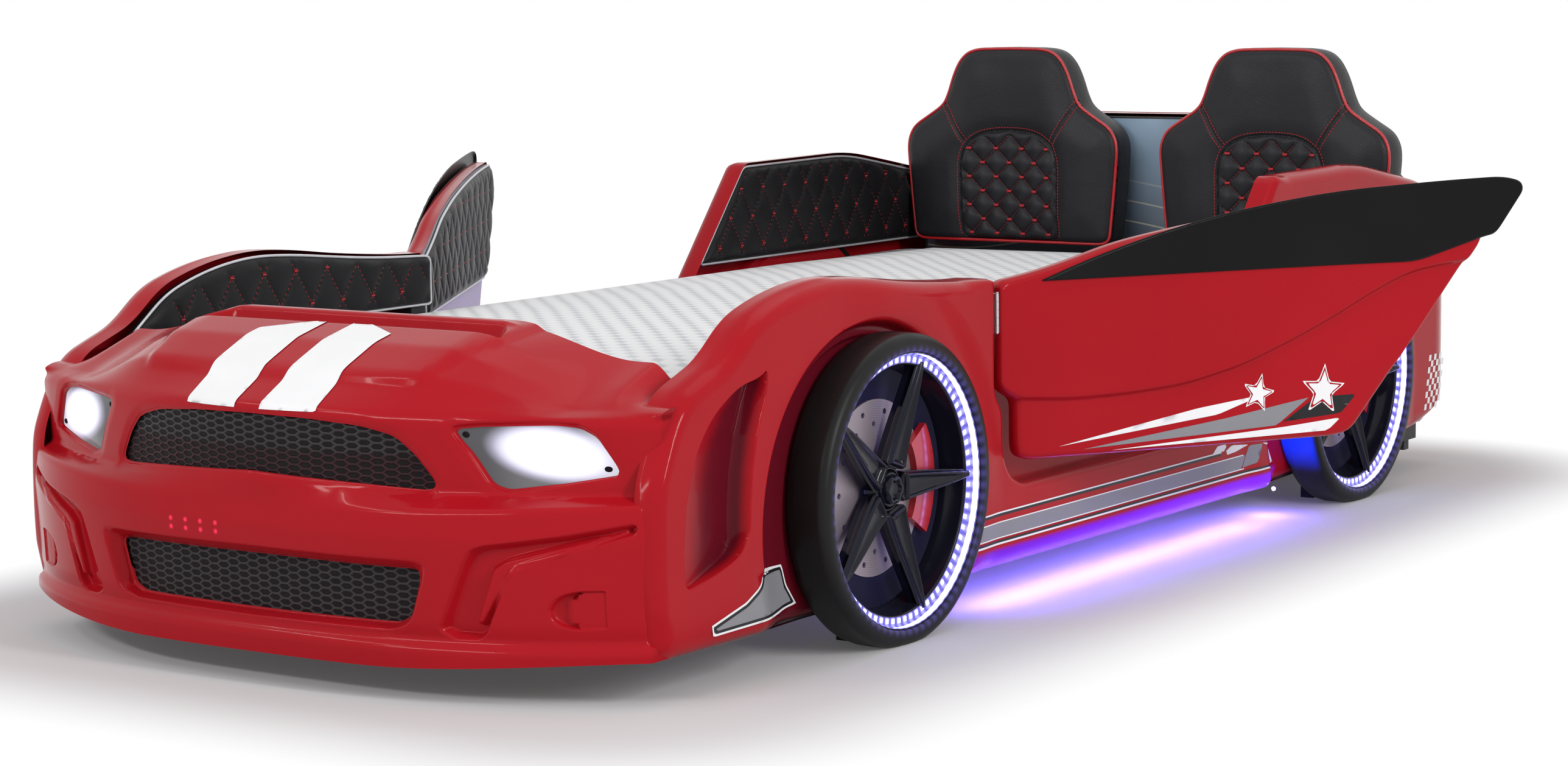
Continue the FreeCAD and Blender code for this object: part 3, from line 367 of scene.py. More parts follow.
def piece(name, points, faces, body, look, sharp=None, normals=None):
    """A mesh piece from points in millimetres, which rides on a body."""
    points = np.asarray(points, float)
    faces = [tuple(int(i) for i in f) for f in faces]
    if normals is not None:
        for k, f in enumerate(faces):
            a, b, c = points[f[0]], points[f[1]], points[f[2]]
            if np.dot(np.cross(b - a, c - a), normals[f[0]] + normals[f[1]] + normals[f[2]]) < 0:
                faces[k] = f[::-1]
    mesh = bpy.data.meshes.new(name)
    mesh.from_pydata((points * MM).tolist(), [], faces)
    mesh.shade_smooth()
    if normals is not None:
        mesh.normals_split_custom_set_from_vertices(normals.tolist())
    if sharp:
        mesh.set_sharp_from_angle(angle=math.radians(sharp))
    mesh.materials.append(look)
    made = bpy.data.objects.new(name, mesh)
    bpy.context.scene.collection.objects.link(made)
    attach(made, body)
    return made


def skirt(points, faces, loop, moves):
    """Carries an edge loop on through the given moves, so that a sheet shows its thickness."""
    points, faces = list(points), list(faces)
    loop = list(loop)
    for move in moves:
        start = len(points)
        n = len(loop)
        points += list(np.array([points[i] for i in loop]) + np.asarray(move, float))
        for i in range(n):
            j = (i + 1) % n
            faces += [(loop[i], loop[j], start + j), (loop[i], start + j, start + i)]
        loop = list(range(start, start + n))
    return np.array(points), faces


def nose_rows(x):
    """The nose's outline at each x, as rows of y and z from its lower lip to the hood's rear edge."""
    t = np.abs(x) / NOSE_SPAN
    low = BUMPER_SWEEP * t ** 3
    top = HOOD_SWEEP * t ** 1.8
    fall = ease((t - 0.35) / 0.65)
    crown = ease((t - 0.42) / 0.38)
    same = np.zeros_like(t)
    rows = [(low + 1, mix(38, 50, fall)), (low, same + 62), (low + 10, same + 71), (low + 6, same + 88),
            (low, same + 185), (low + 5, mix(214, 224, fall)), (top + 5, same + 233),
            (top + 1, mix(314, 310, fall)), (top + 7, mix(324, 318, fall)),
            (mix(70, 152, fall), mix(360, 325, crown)), (mix(120, 166, fall), mix(383, 334, crown)),
            (mix(172, 190, fall), mix(396, 346, crown)), (same + NOSE_LENGTH, mix(402, 368, crown))]
    return np.stack([np.stack([Y_FRONT + y, z], axis=-1) for y, z in rows], axis=1)


MIDDLE = nose_rows(np.zeros(1))[0]
ROW_AT = np.concatenate([[0], np.cumsum(np.linalg.norm(np.diff(MIDDLE, axis=0), axis=1))])
INWARD = np.array([(1, 0)] * 7 + [(1, 0.5), (1, 1), (0.6, 1), (0.5, 1), (0.2, 1), (0, 1)], float)


def nose_base(x, s):
    """Where the nose's mould lies before its recesses; s runs up the middle line."""
    rows = nose_rows(x)
    steps = np.diff(rows, axis=1)
    lengths = np.linalg.norm(steps, axis=2)
    starts = np.concatenate([np.zeros((len(x), 1)), np.cumsum(lengths, axis=1)], axis=1)
    row = np.interp(s, ROW_AT, np.arange(len(ROW_AT)))
    index = np.clip(row.astype(int), 0, len(ROW_AT) - 2)
    own = np.arange(len(x))
    along = starts[own, index] + (row - index) * lengths[own, index]
    total = np.zeros((len(x), 2))
    weights = 0
    for k in range(-4, 5):
        weight = math.exp(-0.5 * (k / 2) ** 2)
        share = (along + k * MOULD_RADIUS / 2)[:, None] - starts[:, :-1]
        share = share / lengths
        share[:, 1:-1] = np.clip(share[:, 1:-1], 0, 1)
        share[:, 0] = np.minimum(share[:, 0], 1)
        share[:, -1] = np.maximum(share[:, -1], 0)
        total += weight * (rows[:, 0] + (share[..., None] * steps).sum(axis=1))
        weights += weight
    return total / weights


def on_nose(outline, axis):
    """An outline in x and y, or in x and z, as x and s on the nose."""
    x, goal = outline[:, 0], outline[:, 1]
    low, high = np.zeros(len(x)), np.full(len(x), ROW_AT[-1])
    for _ in range(22):
        middle = (low + high) / 2
        below = nose_base(x, middle)[:, axis] < goal
        low, high = np.where(below, middle, low), np.where(below, high, middle)
    return np.stack([x, low], axis=1)


def both(points):
    """Half an outline from the middle line, with its mirror image."""
    return points + [(-x, z) for x, z in reversed(points) if x]


def other_side(outline):
    return outline * np.array([-1, 1])


UPPER_GRILLE = rounded(both([(0, 247), (150, 240), (235, 235), (242, 243), (219, 276), (195, 298), (154, 308),
                             (80, 314), (0, 316)]), 12)
LOWER_GRILLE = rounded(both([(0, 84), (198, 85), (215, 94), (229, 140), (226, 148), (0, 149)]), 7)
LOWER_RECESS = rounded(both([(0, 75), (202, 77), (228, 88), (252, 153), (246, 163), (0, 164)]), 12)
HEADLIGHT = rounded([(265, 302), (283, 278), (302, 244), (317, 238), (376, 246), (433, 257), (433, 263),
                     (412, 302), (394, 313), (369, 316), (292, 312), (264, 309)], 7)
VENT = rounded([(466, 206), (398, 193), (315, 181), (301, 176), (292, 162), (267, 101), (259, 83), (276, 74),
                (306, 74), (315, 81), (336, 132), (349, 154), (466, 194)], 7)
VENT_RIB = rounded([(455, 199), (398, 183), (338, 166), (322, 156), (300, 92), (310, 90), (338, 138),
                    (350, 156), (400, 172), (456, 195)], 5)
FOG_POCKET = rounded([(437, 132), (409, 132), (388, 125), (377, 107), (386, 92), (408, 86), (437, 88)],
                     [3, 12, 12, 12, 12, 12, 3])
FOG_BOSS = (419.0, 108.0, 24.0)   # centre and radius of the flat part in it
FENDER_NOSE = [(141, 46), (131, 78), (127, 130), (127, 200), (130, 244), (143, 274), (160, 308), (189, 340),
               (226, 354), (271, 370)]
NOSE_LAP = 465.0                 # half the width of the nose that shows between the fenders
FENDER_LAP = rounded([(Y_FRONT + y, z) for y, z in FENDER_NOSE] + [(Y_BED + 200, 430), (Y_BED + 200, 30)], 30)
PIT_BACK = Y_BED - 26
HOOD_PIT = rounded([(-243, Y_BED - 74), (243, Y_BED - 74), (217, PIT_BACK), (-217, PIT_BACK)], 16)
GRILLE_DEPTH, LOWER_GRILLE_DEPTH, LENS_DEPTH = 5.0, 20.0, 9.0
VENT_DEPTH, FOG_DEPTH, PIT_DEPTH = 14.0, 13.0, 18.0


def nose_depth(x, y, z):
    """How deep the mould is pressed in at a point of the base surface."""
    front = np.stack([x, z], axis=1)
    mirror = np.stack([np.abs(x), z], axis=1)
    top = np.stack([x, y], axis=1)
    is_front = ease((335 - z) / 10)
    d = distance(front, UPPER_GRILLE)
    depth = (3.0 * ease(1 - d / 13) + (GRILLE_DEPTH - 3) * ease(1 - d / 3)) * is_front
    inner, outer = distance(front, LOWER_GRILLE), distance(front, LOWER_RECESS)
    slope = np.where(outer < 0, -outer / np.maximum(-outer + np.maximum(inner, 0), 1e-6), 0)
    depth += LOWER_GRILLE_DEPTH * (0.75 * ease(slope) + 0.25 * ease((slope - 0.75) * 4))
    d = distance(mirror, HEADLIGHT)
    depth += (2.0 * ease(1 - d / 16) + (LENS_DEPTH - 2) * ease(1 - d / 3)) * is_front
    d, rib = distance(mirror, VENT), distance(mirror, VENT_RIB)
    depth += VENT_DEPTH * ease((1 - d) / 8) - (VENT_DEPTH - 3) * ease((2 - rib) / 7) * (d < 4)
    d = distance(mirror, FOG_POCKET)
    boss = ease((FOG_BOSS[2] - np.hypot(np.minimum(np.abs(x) - FOG_BOSS[0], 0), z - FOG_BOSS[1])) / 3)
    depth += ease(-d / 3) * mix(FOG_DEPTH, mix(6.0, 2.5, ease((np.abs(x) - 395) / 40)), boss)
    on_top = ease((z - 345) / 12)
    d = distance(top, HOOD_PIT)
    depth += PIT_DEPTH * ease(-d / 11) * on_top
    lip = ease(1 - np.abs(y - PIT_BACK - 5) / 12) * ease((232 - np.abs(x)) / 30)
    depth -= 3.5 * lip * on_top
    # the middle of the hood stands a little proud, out to the corners of its pit
    crease = 205 + 36 * np.clip((y - Y_FRONT - 40) / (NOSE_LENGTH - 110), 0, 1)
    depth -= 5.0 * ease((crease + 9 - np.abs(x)) / 18) * on_top
    # its rear corners fall away to the fenders, and its ends pass under them
    depth += 30 * ease((np.abs(x) - 400) / 46) * ease((y - Y_BED + 110) / 100)
    lap = -distance(np.stack([y, z], axis=1), FENDER_LAP)
    depth += 24 * ease((lap + 1) / 5) * ease((np.abs(x) - NOSE_LAP) / 3)
    return depth


def nose_inward(s):
    row = np.interp(s, ROW_AT, np.arange(len(ROW_AT)))
    toward = np.stack([np.interp(row, np.arange(len(INWARD)), INWARD[:, k]) for k in (0, 1)], axis=1)
    return toward / np.linalg.norm(toward, axis=1)[:, None]


def nose_surface(x, s, lift=0.0):
    base, toward = nose_base(x, s), nose_inward(s)
    depth = nose_depth(x, base[:, 0], base[:, 1]) - lift
    return np.stack([x, base[:, 0] + depth * toward[:, 0], base[:, 1] - depth * toward[:, 1]], axis=1)


def material(name, paint=None, **constants):
    """A material. paint(field) gives what varies over the surface, by socket name."""
    made = bpy.data.materials.new(name)
    made.use_nodes = True
    shader = made.node_tree.nodes["Principled BSDF"]
    for key, value in constants.items():
        socket = shader.inputs[key.replace("_", " ")]
        socket.default_value = (*value, 1) if isinstance(value, tuple) else value
    for key, field in (paint(Field(made.node_tree)) if paint else {}).items():
        made.node_tree.links.new(field.socket, shader.inputs[key])
    return made


SIDE_FACE = 490.0                # half the width over the side mouldings
VIOLET_START, VIOLET_END = (-440.0, -300.0), (520.0, 550.0)   # where the sill is painted violet and glows, as lit by the lamps under the bed
# where the painted shade of the front scoops and arch steps begins and ends
SHADE_FRONT, SHADE_REAR, SHADE_TOP = (-996.0, -986.0), (-330.0, -300.0), (390.0, 405.0)
LAMP_START, LAMP_PITCH = -120.0, 24.0    # of the four pairs of red lamps behind the bumper
LAMP_MIDDLE, LAMP_APART = 178.0, 5.0


def red_paint(field):
    x, y, z = field.place()
    # painted light: low on the sills the red is painted violet and glows, as lit by the lamps under the bed
    lit = (1 - z.fade(66.0, 74.0)) * (abs(x) > 462.0) * y.fade(*VIOLET_START) * (1 - y.fade(*VIOLET_END))
    violet = y.fade(-350.0, 500.0).mix((0.15, 0.004, 0.55), (0.22, 0.008, 0.85))
    flow = field.noise(2.2, 3.0)
    tone = flow.fade(0.3, 0.7).mix((0.375, 0.0055, 0.0115), (0.435, 0.0075, 0.0150))
    # painted shade: the floors of the scoops and the steps of the arches are painted a darker red
    deep = (SIDE_FACE - abs(x)).fade(3.0, 16.0) * (abs(x) > SIDE_FACE - 50) * y.fade(*SHADE_FRONT)
    deep = deep * (1 - y.fade(*SHADE_REAR)) * (1 - z.fade(*SHADE_TOP))
    deep = deep * (1 - (z - (y + 980.0) * 0.6).fade(280.0, 300.0))
    tone = lit.mix(deep.mix(tone, (0.125, 0.0055, 0.0140)), (0.04, 0.004, 0.12))
    # the red lamps behind the bumper glow through it
    column = (x - LAMP_START) / LAMP_PITCH
    beside = abs(column - column.math("ROUND")) * LAMP_PITCH
    above = abs(abs(z - LAMP_MIDDLE) - LAMP_APART)
    spot = 1 - (beside * beside + above * above).math("SQRT").fade(0.6, 4.2)
    spot = spot * (abs(column - 1.5) < 2.0) * (y < Y_FRONT + 60.0)
    peel = field.noise(900.0, 1.0)
    scuffs = field.noise(30.0, 6.0, 0.7).fade(0.45, 0.8) * 0.08 + 0.13
    return {"Base Color": tone, "Roughness": scuffs,
            "Emission Color": spot.mix(lit.mix((0, 0, 0), violet), (0.80, 0.03, 0.10)),
            "Normal": (peel * 0.3 + field.noise(5.0) * 3.0).bump(0.12, 0.002)}


RED = material("red_shell", red_paint, Coat_Weight=0.10, Coat_Roughness=0.04, Specular_IOR_Level=0.06,
               Emission_Strength=1.0)

edge = NOSE_HALF_WIDTH
nose_outline = np.array([(-edge, 0), (edge, 0), (edge, ROW_AT[-1]), (-edge, ROW_AT[-1])], float)
upper_hole, lower_hole = on_nose(UPPER_GRILLE, 1), on_nose(LOWER_GRILLE, 1)
light_hole = on_nose(HEADLIGHT, 1)
nose_lines = [
    (upper_hole, (1, 2, 3, 5, 8, 13), 4), (lower_hole, (2, 5, 9), 4),
    (on_nose(LOWER_RECESS, 1), (0, -4, -8), 4),
    (on_nose(HOOD_PIT, 0), (4, 0, -3, -6, -9, -12), 5),
]
for outline, offsets, step in (
    (light_hole, (1, 2, 3, 6, 11, 16), 4),
    (on_nose(VENT, 1), (2, 0, -2, -4, -6, -8), 3.2),
    (on_nose(VENT_RIB, 1), (3, 1, -1, -3, -5), 3.2),
    (on_nose(FOG_POCKET, 1), (1, 0, -1.5, -3, -4.5), 2.5),
):
    nose_lines += [(outline, offsets, step), (other_side(outline), offsets, step)]
heights = [np.arange(*run) for run in ((0, 110, 3.0), (110, 150, 8.0), (150, 215, 4.0), (215, 285, 8.0),
                                       (285, 330, 3.5), (330, ROW_AT[-1], 7.0))]
grid = grid_of(np.arange(-edge, edge, 8.0), np.unique(np.concatenate(heights)))
# a finer grid where the moulding dips under the fenders
fine = grid_of(np.arange(NOSE_LAP - 1, edge, 1.5), np.arange(0, ROW_AT[-1], 3.0))
grid = np.vstack([grid[np.abs(grid[:, 0]) < NOSE_LAP - 5], fine, other_side(fine)])
flat, faces, loops = tessellate(nose_outline, 8.0, nose_lines, [upper_hole, lower_hole, light_hole,
                                                               other_side(light_hole)], grid=grid)
nose = nose_surface(flat[:, 0], flat[:, 1])
rear_edge = (nose[loops[0], 1] > Y_BED - 2)[:, None]
end_edge = (np.abs(nose[loops[0], 0]) > edge - 1)[:, None] & ~rear_edge
turned_in = np.where(rear_edge, (0, 0.5, -8), np.where(end_edge, (0, 30, 0), (0, 4, 3)))
nose, faces = skirt(nose, faces, loops[0], [turned_in])
for loop in loops[1:]:
    nose, faces = skirt(nose, faces, loop, [(0, 3, 0)])
normals = -facing(nose_surface, flat, loops, 1)
shell = piece("front_shell_moulding", nose, faces, "bed", RED, normals=normals)
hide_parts("front_shell")

# ---- grilles -------------------------------------------------------------------------------------
# Two black plastic plates with an embossed honeycomb, screwed in behind the openings of the nose.
# Their cells are painted darker than their ridges, as shade in the hollows, and the lower part of the upper plate
# is painted darker, with a red cast, as shade.
CELL_PITCH, CELL_HEIGHT, CELL_TIP = 15.5, 9.0, 10.2
CELL_RIDGE, CELL_DEPTH = 1.1, 1.3


def under_nose(x, s, depth):
    base = nose_base(x, s)
    toward = nose_inward(s)
    return np.stack([x, base[:, 0] + depth * toward[:, 0], base[:, 1] - depth * toward[:, 1]], axis=1)


def honeycomb(name, outline, depth, look, cell_shade_look):
    """A plate of hexagons whose floors lie a little behind their ridges."""
    corners = np.array([(CELL_TIP, 0), (CELL_PITCH - CELL_TIP, CELL_HEIGHT / 2),
                        (CELL_TIP - CELL_PITCH, CELL_HEIGHT / 2), (-CELL_TIP, 0),
                        (CELL_TIP - CELL_PITCH, -CELL_HEIGHT / 2), (CELL_PITCH - CELL_TIP, -CELL_HEIGHT / 2)])
    inner = corners * np.array([(CELL_TIP - CELL_RIDGE) / CELL_TIP, 1 - 2 * CELL_RIDGE / CELL_HEIGHT])
    floor = inner * 0.86
    centres = []
    span = int(np.abs(outline[:, 0]).max() / CELL_PITCH) + 2
    for i in range(-span, span + 1):
        shift = CELL_HEIGHT / 2 if i % 2 else 0
        for s in np.arange(outline[:, 1].min() - CELL_HEIGHT, outline[:, 1].max() + CELL_HEIGHT, CELL_HEIGHT):
            centres.append((i * CELL_PITCH, s + shift))
    centres = np.array(centres)
    centres = centres[distance(centres, outline) < 7]
    flat = (centres[:, None, :] + np.concatenate([corners, inner, floor])[None]).reshape(-1, 2)
    sunk = np.tile(np.repeat([0, 0.3, CELL_DEPTH], 6), len(centres))
    points = under_nose(flat[:, 0], flat[:, 1], depth + sunk)
    faces = []
    for c in range(len(centres)):
        o = 18 * c
        for k in range(6):
            j = (k + 1) % 6
            faces += [(o + k, o + j, o + 6 + j, o + 6 + k), (o + 6 + k, o + 6 + j, o + 12 + j, o + 12 + k)]
        faces.append(tuple(o + 12 + k for k in range(6)))
    made = piece(name, points, faces, "bed", look, sharp=25)
    # the cell floors take the second look: painted shade in the hollows
    made.data.materials.append(cell_shade_look)
    for face in made.data.polygons:
        if len(face.vertices) == 6:
            face.material_index = 1
    return made


# painted shade: near black for the shade in the cells; the screw heads share this black
def cell_shade_paint(field):
    return {"Base Color": field.noise(8.0).mix((0.014, 0.012, 0.013), (0.018, 0.016, 0.017)),
            "Roughness": field.noise(60.0, 4.0) * 0.2 + 0.4}


CELL_SHADE_AND_SCREW_BLACK = material("grille_cells", cell_shade_paint, Specular_IOR_Level=0.05)


def grille_paint(field):
    _, _, z = field.place()
    # painted shade: the lower part of the upper plate is painted darker, with a red cast
    upper = z.fade(268.0, 280.0)
    shade_tint = ((z > 200.0) * (1 - upper)).mix((0.046, 0.041, 0.044), (0.034, 0.014, 0.017))
    return {"Base Color": shade_tint, "Roughness": field.noise(60.0, 4.0).fade(0.3, 0.8) * 0.15 + 0.32,
            "Normal": field.noise(700.0).bump(0.15, 0.001)}


BLACK_PLASTIC = material("grille", grille_paint, Specular_IOR_Level=0.15)
PLATE_GAP = 3.5                  # the plates lie this far behind the edges of their openings
for name, hole, depth in (("upper_grille", upper_hole, GRILLE_DEPTH),
                          ("lower_grille", lower_hole, LOWER_GRILLE_DEPTH)):
    plate = honeycomb(name + "_plate", hole, depth + PLATE_GAP, BLACK_PLASTIC, CELL_SHADE_AND_SCREW_BLACK)
    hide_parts(name)

# ---- headlights ----------------------------------------------------------------------------------
# A clear moulded lens in a pressed seat, held by two black screws, with a white LED lamp behind it
# that makes its middle glow and leaves its inner point grey.
LAMP_CENTRE = (366.0, 279.0)
LAMP_SPREAD, LAMP_LEAN = (50.0, 24.0), 0.14
LENS_GAP, LENS_DOME = 2.5, 2.5


def lens_paint(field):
    x, _, z = field.place()
    beside = abs(x) - LAMP_CENTRE[0]
    wide = beside / LAMP_SPREAD[0]
    tall = (z - LAMP_CENTRE[1] + beside * LAMP_LEAN) / LAMP_SPREAD[1]
    away = wide * wide + tall * tall
    core = 1 - away.fade(0.35, 1.7)
    haze = 1 - away.fade(0.7, 2.4)
    inner = abs(x).fade(285.0, 350.0).mix((0.038, 0.038, 0.038), (0.120, 0.120, 0.120))
    glass = abs(x).fade(385.0, 425.0).mix(inner, (0.6215, 0.6215, 0.6215))
    lit = haze.mix(glass, (0.66, 0.64, 0.86))
    return {"Base Color": haze.mix((0.06, 0.06, 0.07), (0.12, 0.12, 0.13)),
            "Emission Color": core.mix(lit, (1.1, 1.1, 1.15)),
            "Roughness": field.noise(40.0).fade(0.2, 0.9) * 0.1 + 0.08}


def flipped(points):
    return np.asarray(points) * np.array([-1, 1, 1])


def pair(name, points, faces, bodies, look, sharp=None, normals=None):
    """A left piece and its mirror image on the right."""
    mirrored = [tuple(f)[::-1] for f in faces]
    return [piece("left_" + name, points, faces, bodies[0], look, sharp, normals),
            piece("right_" + name, flipped(points), mirrored, bodies[1], look, sharp,
                  None if normals is None else flipped(normals))]


def in_turn(points, centre):
    """Loose points round an outline, put in order round a centre."""
    away = points - centre
    return points[np.argsort(np.arctan2(away[:, 1], away[:, 0]))]


def ring_faces(rows, count, start=0):
    """Quads between rows of points that each run once round."""
    faces = []
    for row in range(start, start + (rows - 1) * count, count):
        for i in range(count):
            j = (i + 1) % count
            faces.append((row + i, row + j, row + count + j, row + count + i))
    return faces


LENS = material("lens", lens_paint, Emission_Strength=1.0, Specular_IOR_Level=0.3)
grown = ring(light_hole, 3.0, 4)
grown = in_turn(grown, grown.mean(axis=0))
lens_flat, lens_faces, _ = tessellate(grown, 9.0)
dome = LENS_DOME * ease(-distance(lens_flat, light_hole) / 26)
lens_points = under_nose(lens_flat[:, 0], lens_flat[:, 1], LENS_DEPTH + LENS_GAP - dome)
for made in pair("headlight_glass", lens_points, lens_faces, ("bed", "bed"), LENS):
    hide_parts(made.name.replace("_glass", "_lens"))

# the black heads of the screws, each with a socket
SCREWS = ((274.0, 303.0), (421.0, 264.0))
SCREW_PROFILE = ((3.7, 0.0), (3.6, 2.2), (2.8, 3.2), (1.7, 3.3), (1.5, 2.0), (0.1, 2.0))   # radius and rise
SCREW_SIDES = 20
turn = np.linspace(0, 2 * math.pi, SCREW_SIDES, endpoint=False)
points, faces = [], []
for screw in SCREWS:
    at = on_nose(np.array([screw]), 1)[0]
    start = len(points)
    for radius, rise in SCREW_PROFILE:
        around = at + radius * np.stack([np.cos(turn), np.sin(turn)], axis=1)
        points += list(under_nose(around[:, 0], around[:, 1], LENS_DEPTH + LENS_GAP - rise))
    faces += ring_faces(len(SCREW_PROFILE), SCREW_SIDES, start)
screws = pair("lens_screw_heads", np.array(points), faces, ("bed", "bed"), CELL_SHADE_AND_SCREW_BLACK, sharp=40)
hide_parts("lens_screws")

# ---- stripes on the hood -------------------------------------------------------------------------
# Two white vinyl stripes run from the grille's edge to the pit of the hood. They follow the plastic
# over its brow and are cut slanting at their rear ends.
STICKER = 0.35                   # how far a film's face stands off the plastic
STRIPE_LIFT = 0.9
STRIPE_FRONT_Z = 319.5


def vinyl(name, colour, roughness=0.28):
    def paint(field):
        wear = field.noise(24.0, 4.0).fade(0.25, 0.85)
        return {"Base Color": wear.mix(tuple(c * 0.97 for c in colour), colour),
                "Roughness": wear * 0.08 + roughness, "Normal": field.noise(5.0).bump(0.08, 0.002)}
    return material(name, paint, Coat_Weight=0.05, Coat_Roughness=0.08, Specular_IOR_Level=0.2)


WHITE = vinyl("white_vinyl", (0.93, 0.93, 0.94))
GREY = vinyl("grey_vinyl", (0.27, 0.27, 0.29))
BLACK = vinyl("black_vinyl", (0.016, 0.016, 0.018))


def sticker(name, outline, spacing, surface, body, look, lift=STICKER):
    """A cut film on a surface, given as a function of two flat coordinates and a lift."""
    flat, faces, _ = tessellate(np.array(outline, float), spacing, edge_step=spacing)
    return piece(name, surface(flat[:, 0], flat[:, 1], lift), faces, body, look)


def along(a, b, step):
    """Points from a up to b, without b."""
    a, b = np.array(a, float), np.array(b, float)
    count = max(int(np.linalg.norm(b - a) / step), 1)
    return [tuple(a + (b - a) * k / count) for k in range(count)]


# x of the inner and the outer edge in front, then x and the distance from the front at the rear end
for name, fronts, rears in (
    ("left_hood_stripe", (20, 99), ((22, 186), (100, 148))),
    ("right_hood_stripe", (-18, -98), ((-20, 180), (-99, 142))),
):
    corners = on_nose(np.array([(x, STRIPE_FRONT_Z) for x in fronts]), 1)
    rear = on_nose(np.array([(x, Y_FRONT + y) for x, y in rears]), 0)
    line = along(corners[0], rear[0], 8) + along(rear[0], rear[1], 8) + along(rear[1], corners[1], 8)
    line += along(corners[1], corners[0], 8)
    sticker(name, line, 5.0, nose_surface, "bed", WHITE, STRIPE_LIFT)

# ---- side shells ---------------------------------------------------------------------------------
# Each side is one red moulding of fender, sill and rear quarter, with flat-floored wheel wells, an
# air scoop before the front wheel and a notch for the door. It is screwed to the side board.
X_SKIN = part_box("left_side_shell")[1].x / MM
X_ROLL = X_SKIN - 50.0
X_WELL = X_SKIN - 20.0
X_QUARTER = X_SKIN - 28.0
X_RECESS = X_SKIN - 27.7
tyre_boxes = [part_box(place + "_left_tyre") for place in ("front", "rear")]
Y_AXLES = [(low.y + high.y) / 2 / MM for low, high in tyre_boxes]
AXLE_HEIGHT = 185.0
Y_REAR = cad_box[1].y / MM
hinge = next(j for j in frame["joints"] if j["name"] == "left_door_hinge")
X_HINGE, Y_HINGE, _ = (c / MM for c in hinge["pos_m"])
DOOR_KNEE, DOOR_TIP = (538, 184), (745, 434)
DOOR_GAP = 6.0
SILL_Z, SHELL_EDGE = 43.0, 24.0
ARCH_RADIUS, ARCH_SHIFT = 227.0, -25.0
SCOOP_DEPTH, SCOOP_WALL = 20.0, 15.0
SCOOP_REAR = ((120, 146, 165, 200, 240, 281, 318, 350), (-300, -288, -280, -279, -275, -265, -249, -231))
SCOOP_FRONT = ((120, 172, 226, 272, 312, 342, 358), (-411, -412, -405, -388, -355, -301, -244))


def door_line(z, gap=0.0):
    """Y of the shut door's slanted rear edge at a height."""
    slope = (DOOR_TIP[0] - DOOR_KNEE[0]) / (DOOR_TIP[1] - DOOR_KNEE[1])
    return Y_HINGE + DOOR_KNEE[0] + (z - DOOR_KNEE[1]) * slope + gap * math.hypot(1, slope)


def shifted(points, y):
    return [(y + a, z) for a, z in points]


FENDER_TOP = [(-265, 412), (-213, 429), (-155, 441), (-88, 447), (-14, 442), (69, 431), (156, 423)]
FENDER_END = [(-61, 419), (-3, 417), (-3, 271), (17, 248), (17, 190), (34, 162), (70, 146)]
QUARTER_TOP = [(86, 504), (206, 484), (330, 462)]
TAIL_TOP = [(-152, 452), (-40, 441), (-14, 430)]
TAIL_END = [(0, 400), (0, 170), (-16, 122), (-50, 94), (-92, 78), (-182, 62), (-235, 54)]
SCOOP = [(-240, 358), (-257, 347), (-301, 342), (-355, 312), (-388, 272), (-405, 226), (-412, 172),
         (-411, 120), (-374, 128), (-335, 136), (-296, 149), (-276, 180), (-268, 246), (-246, 318)]
side_parts = [
    (shifted(FENDER_NOSE, Y_FRONT), 40), (shifted(FENDER_TOP, Y_AXLES[0]), 60),
    (shifted(FENDER_END[:1], Y_HINGE), 20), (shifted(FENDER_END[1:2], Y_HINGE), 4),
    (shifted(FENDER_END[2:], Y_HINGE), 16),
    ([(door_line(146, DOOR_GAP), 146)], 10), ([(door_line(500, DOOR_GAP), 500)], 12),
    (shifted(QUARTER_TOP, Y_AXLES[1]), 50), (shifted(TAIL_TOP, Y_REAR), 30),
    (shifted(TAIL_END, Y_REAR - 3), 40), ([(Y_AXLES[1] - 200, SILL_Z), (Y_AXLES[0] + 200, SILL_Z)], 30)]
SIDE = rounded([p for points, _ in side_parts for p in points],
               [cut for points, cut in side_parts for _ in points])
scoop = rounded(shifted(SCOOP, Y_AXLES[0]), 26)


def circle(y, z, radius, count=150):
    turn = np.linspace(0, 2 * math.pi, count, endpoint=False)
    return np.stack([y + radius * np.cos(turn), z + radius * np.sin(turn)], axis=1)


def from_arch(y, z):
    """Distance outside the nearer wheel arch."""
    return np.min([np.hypot(y - axle - ARCH_SHIFT, z - AXLE_HEIGHT - ARCH_SHIFT) for axle in Y_AXLES],
                  axis=0) - ARCH_RADIUS


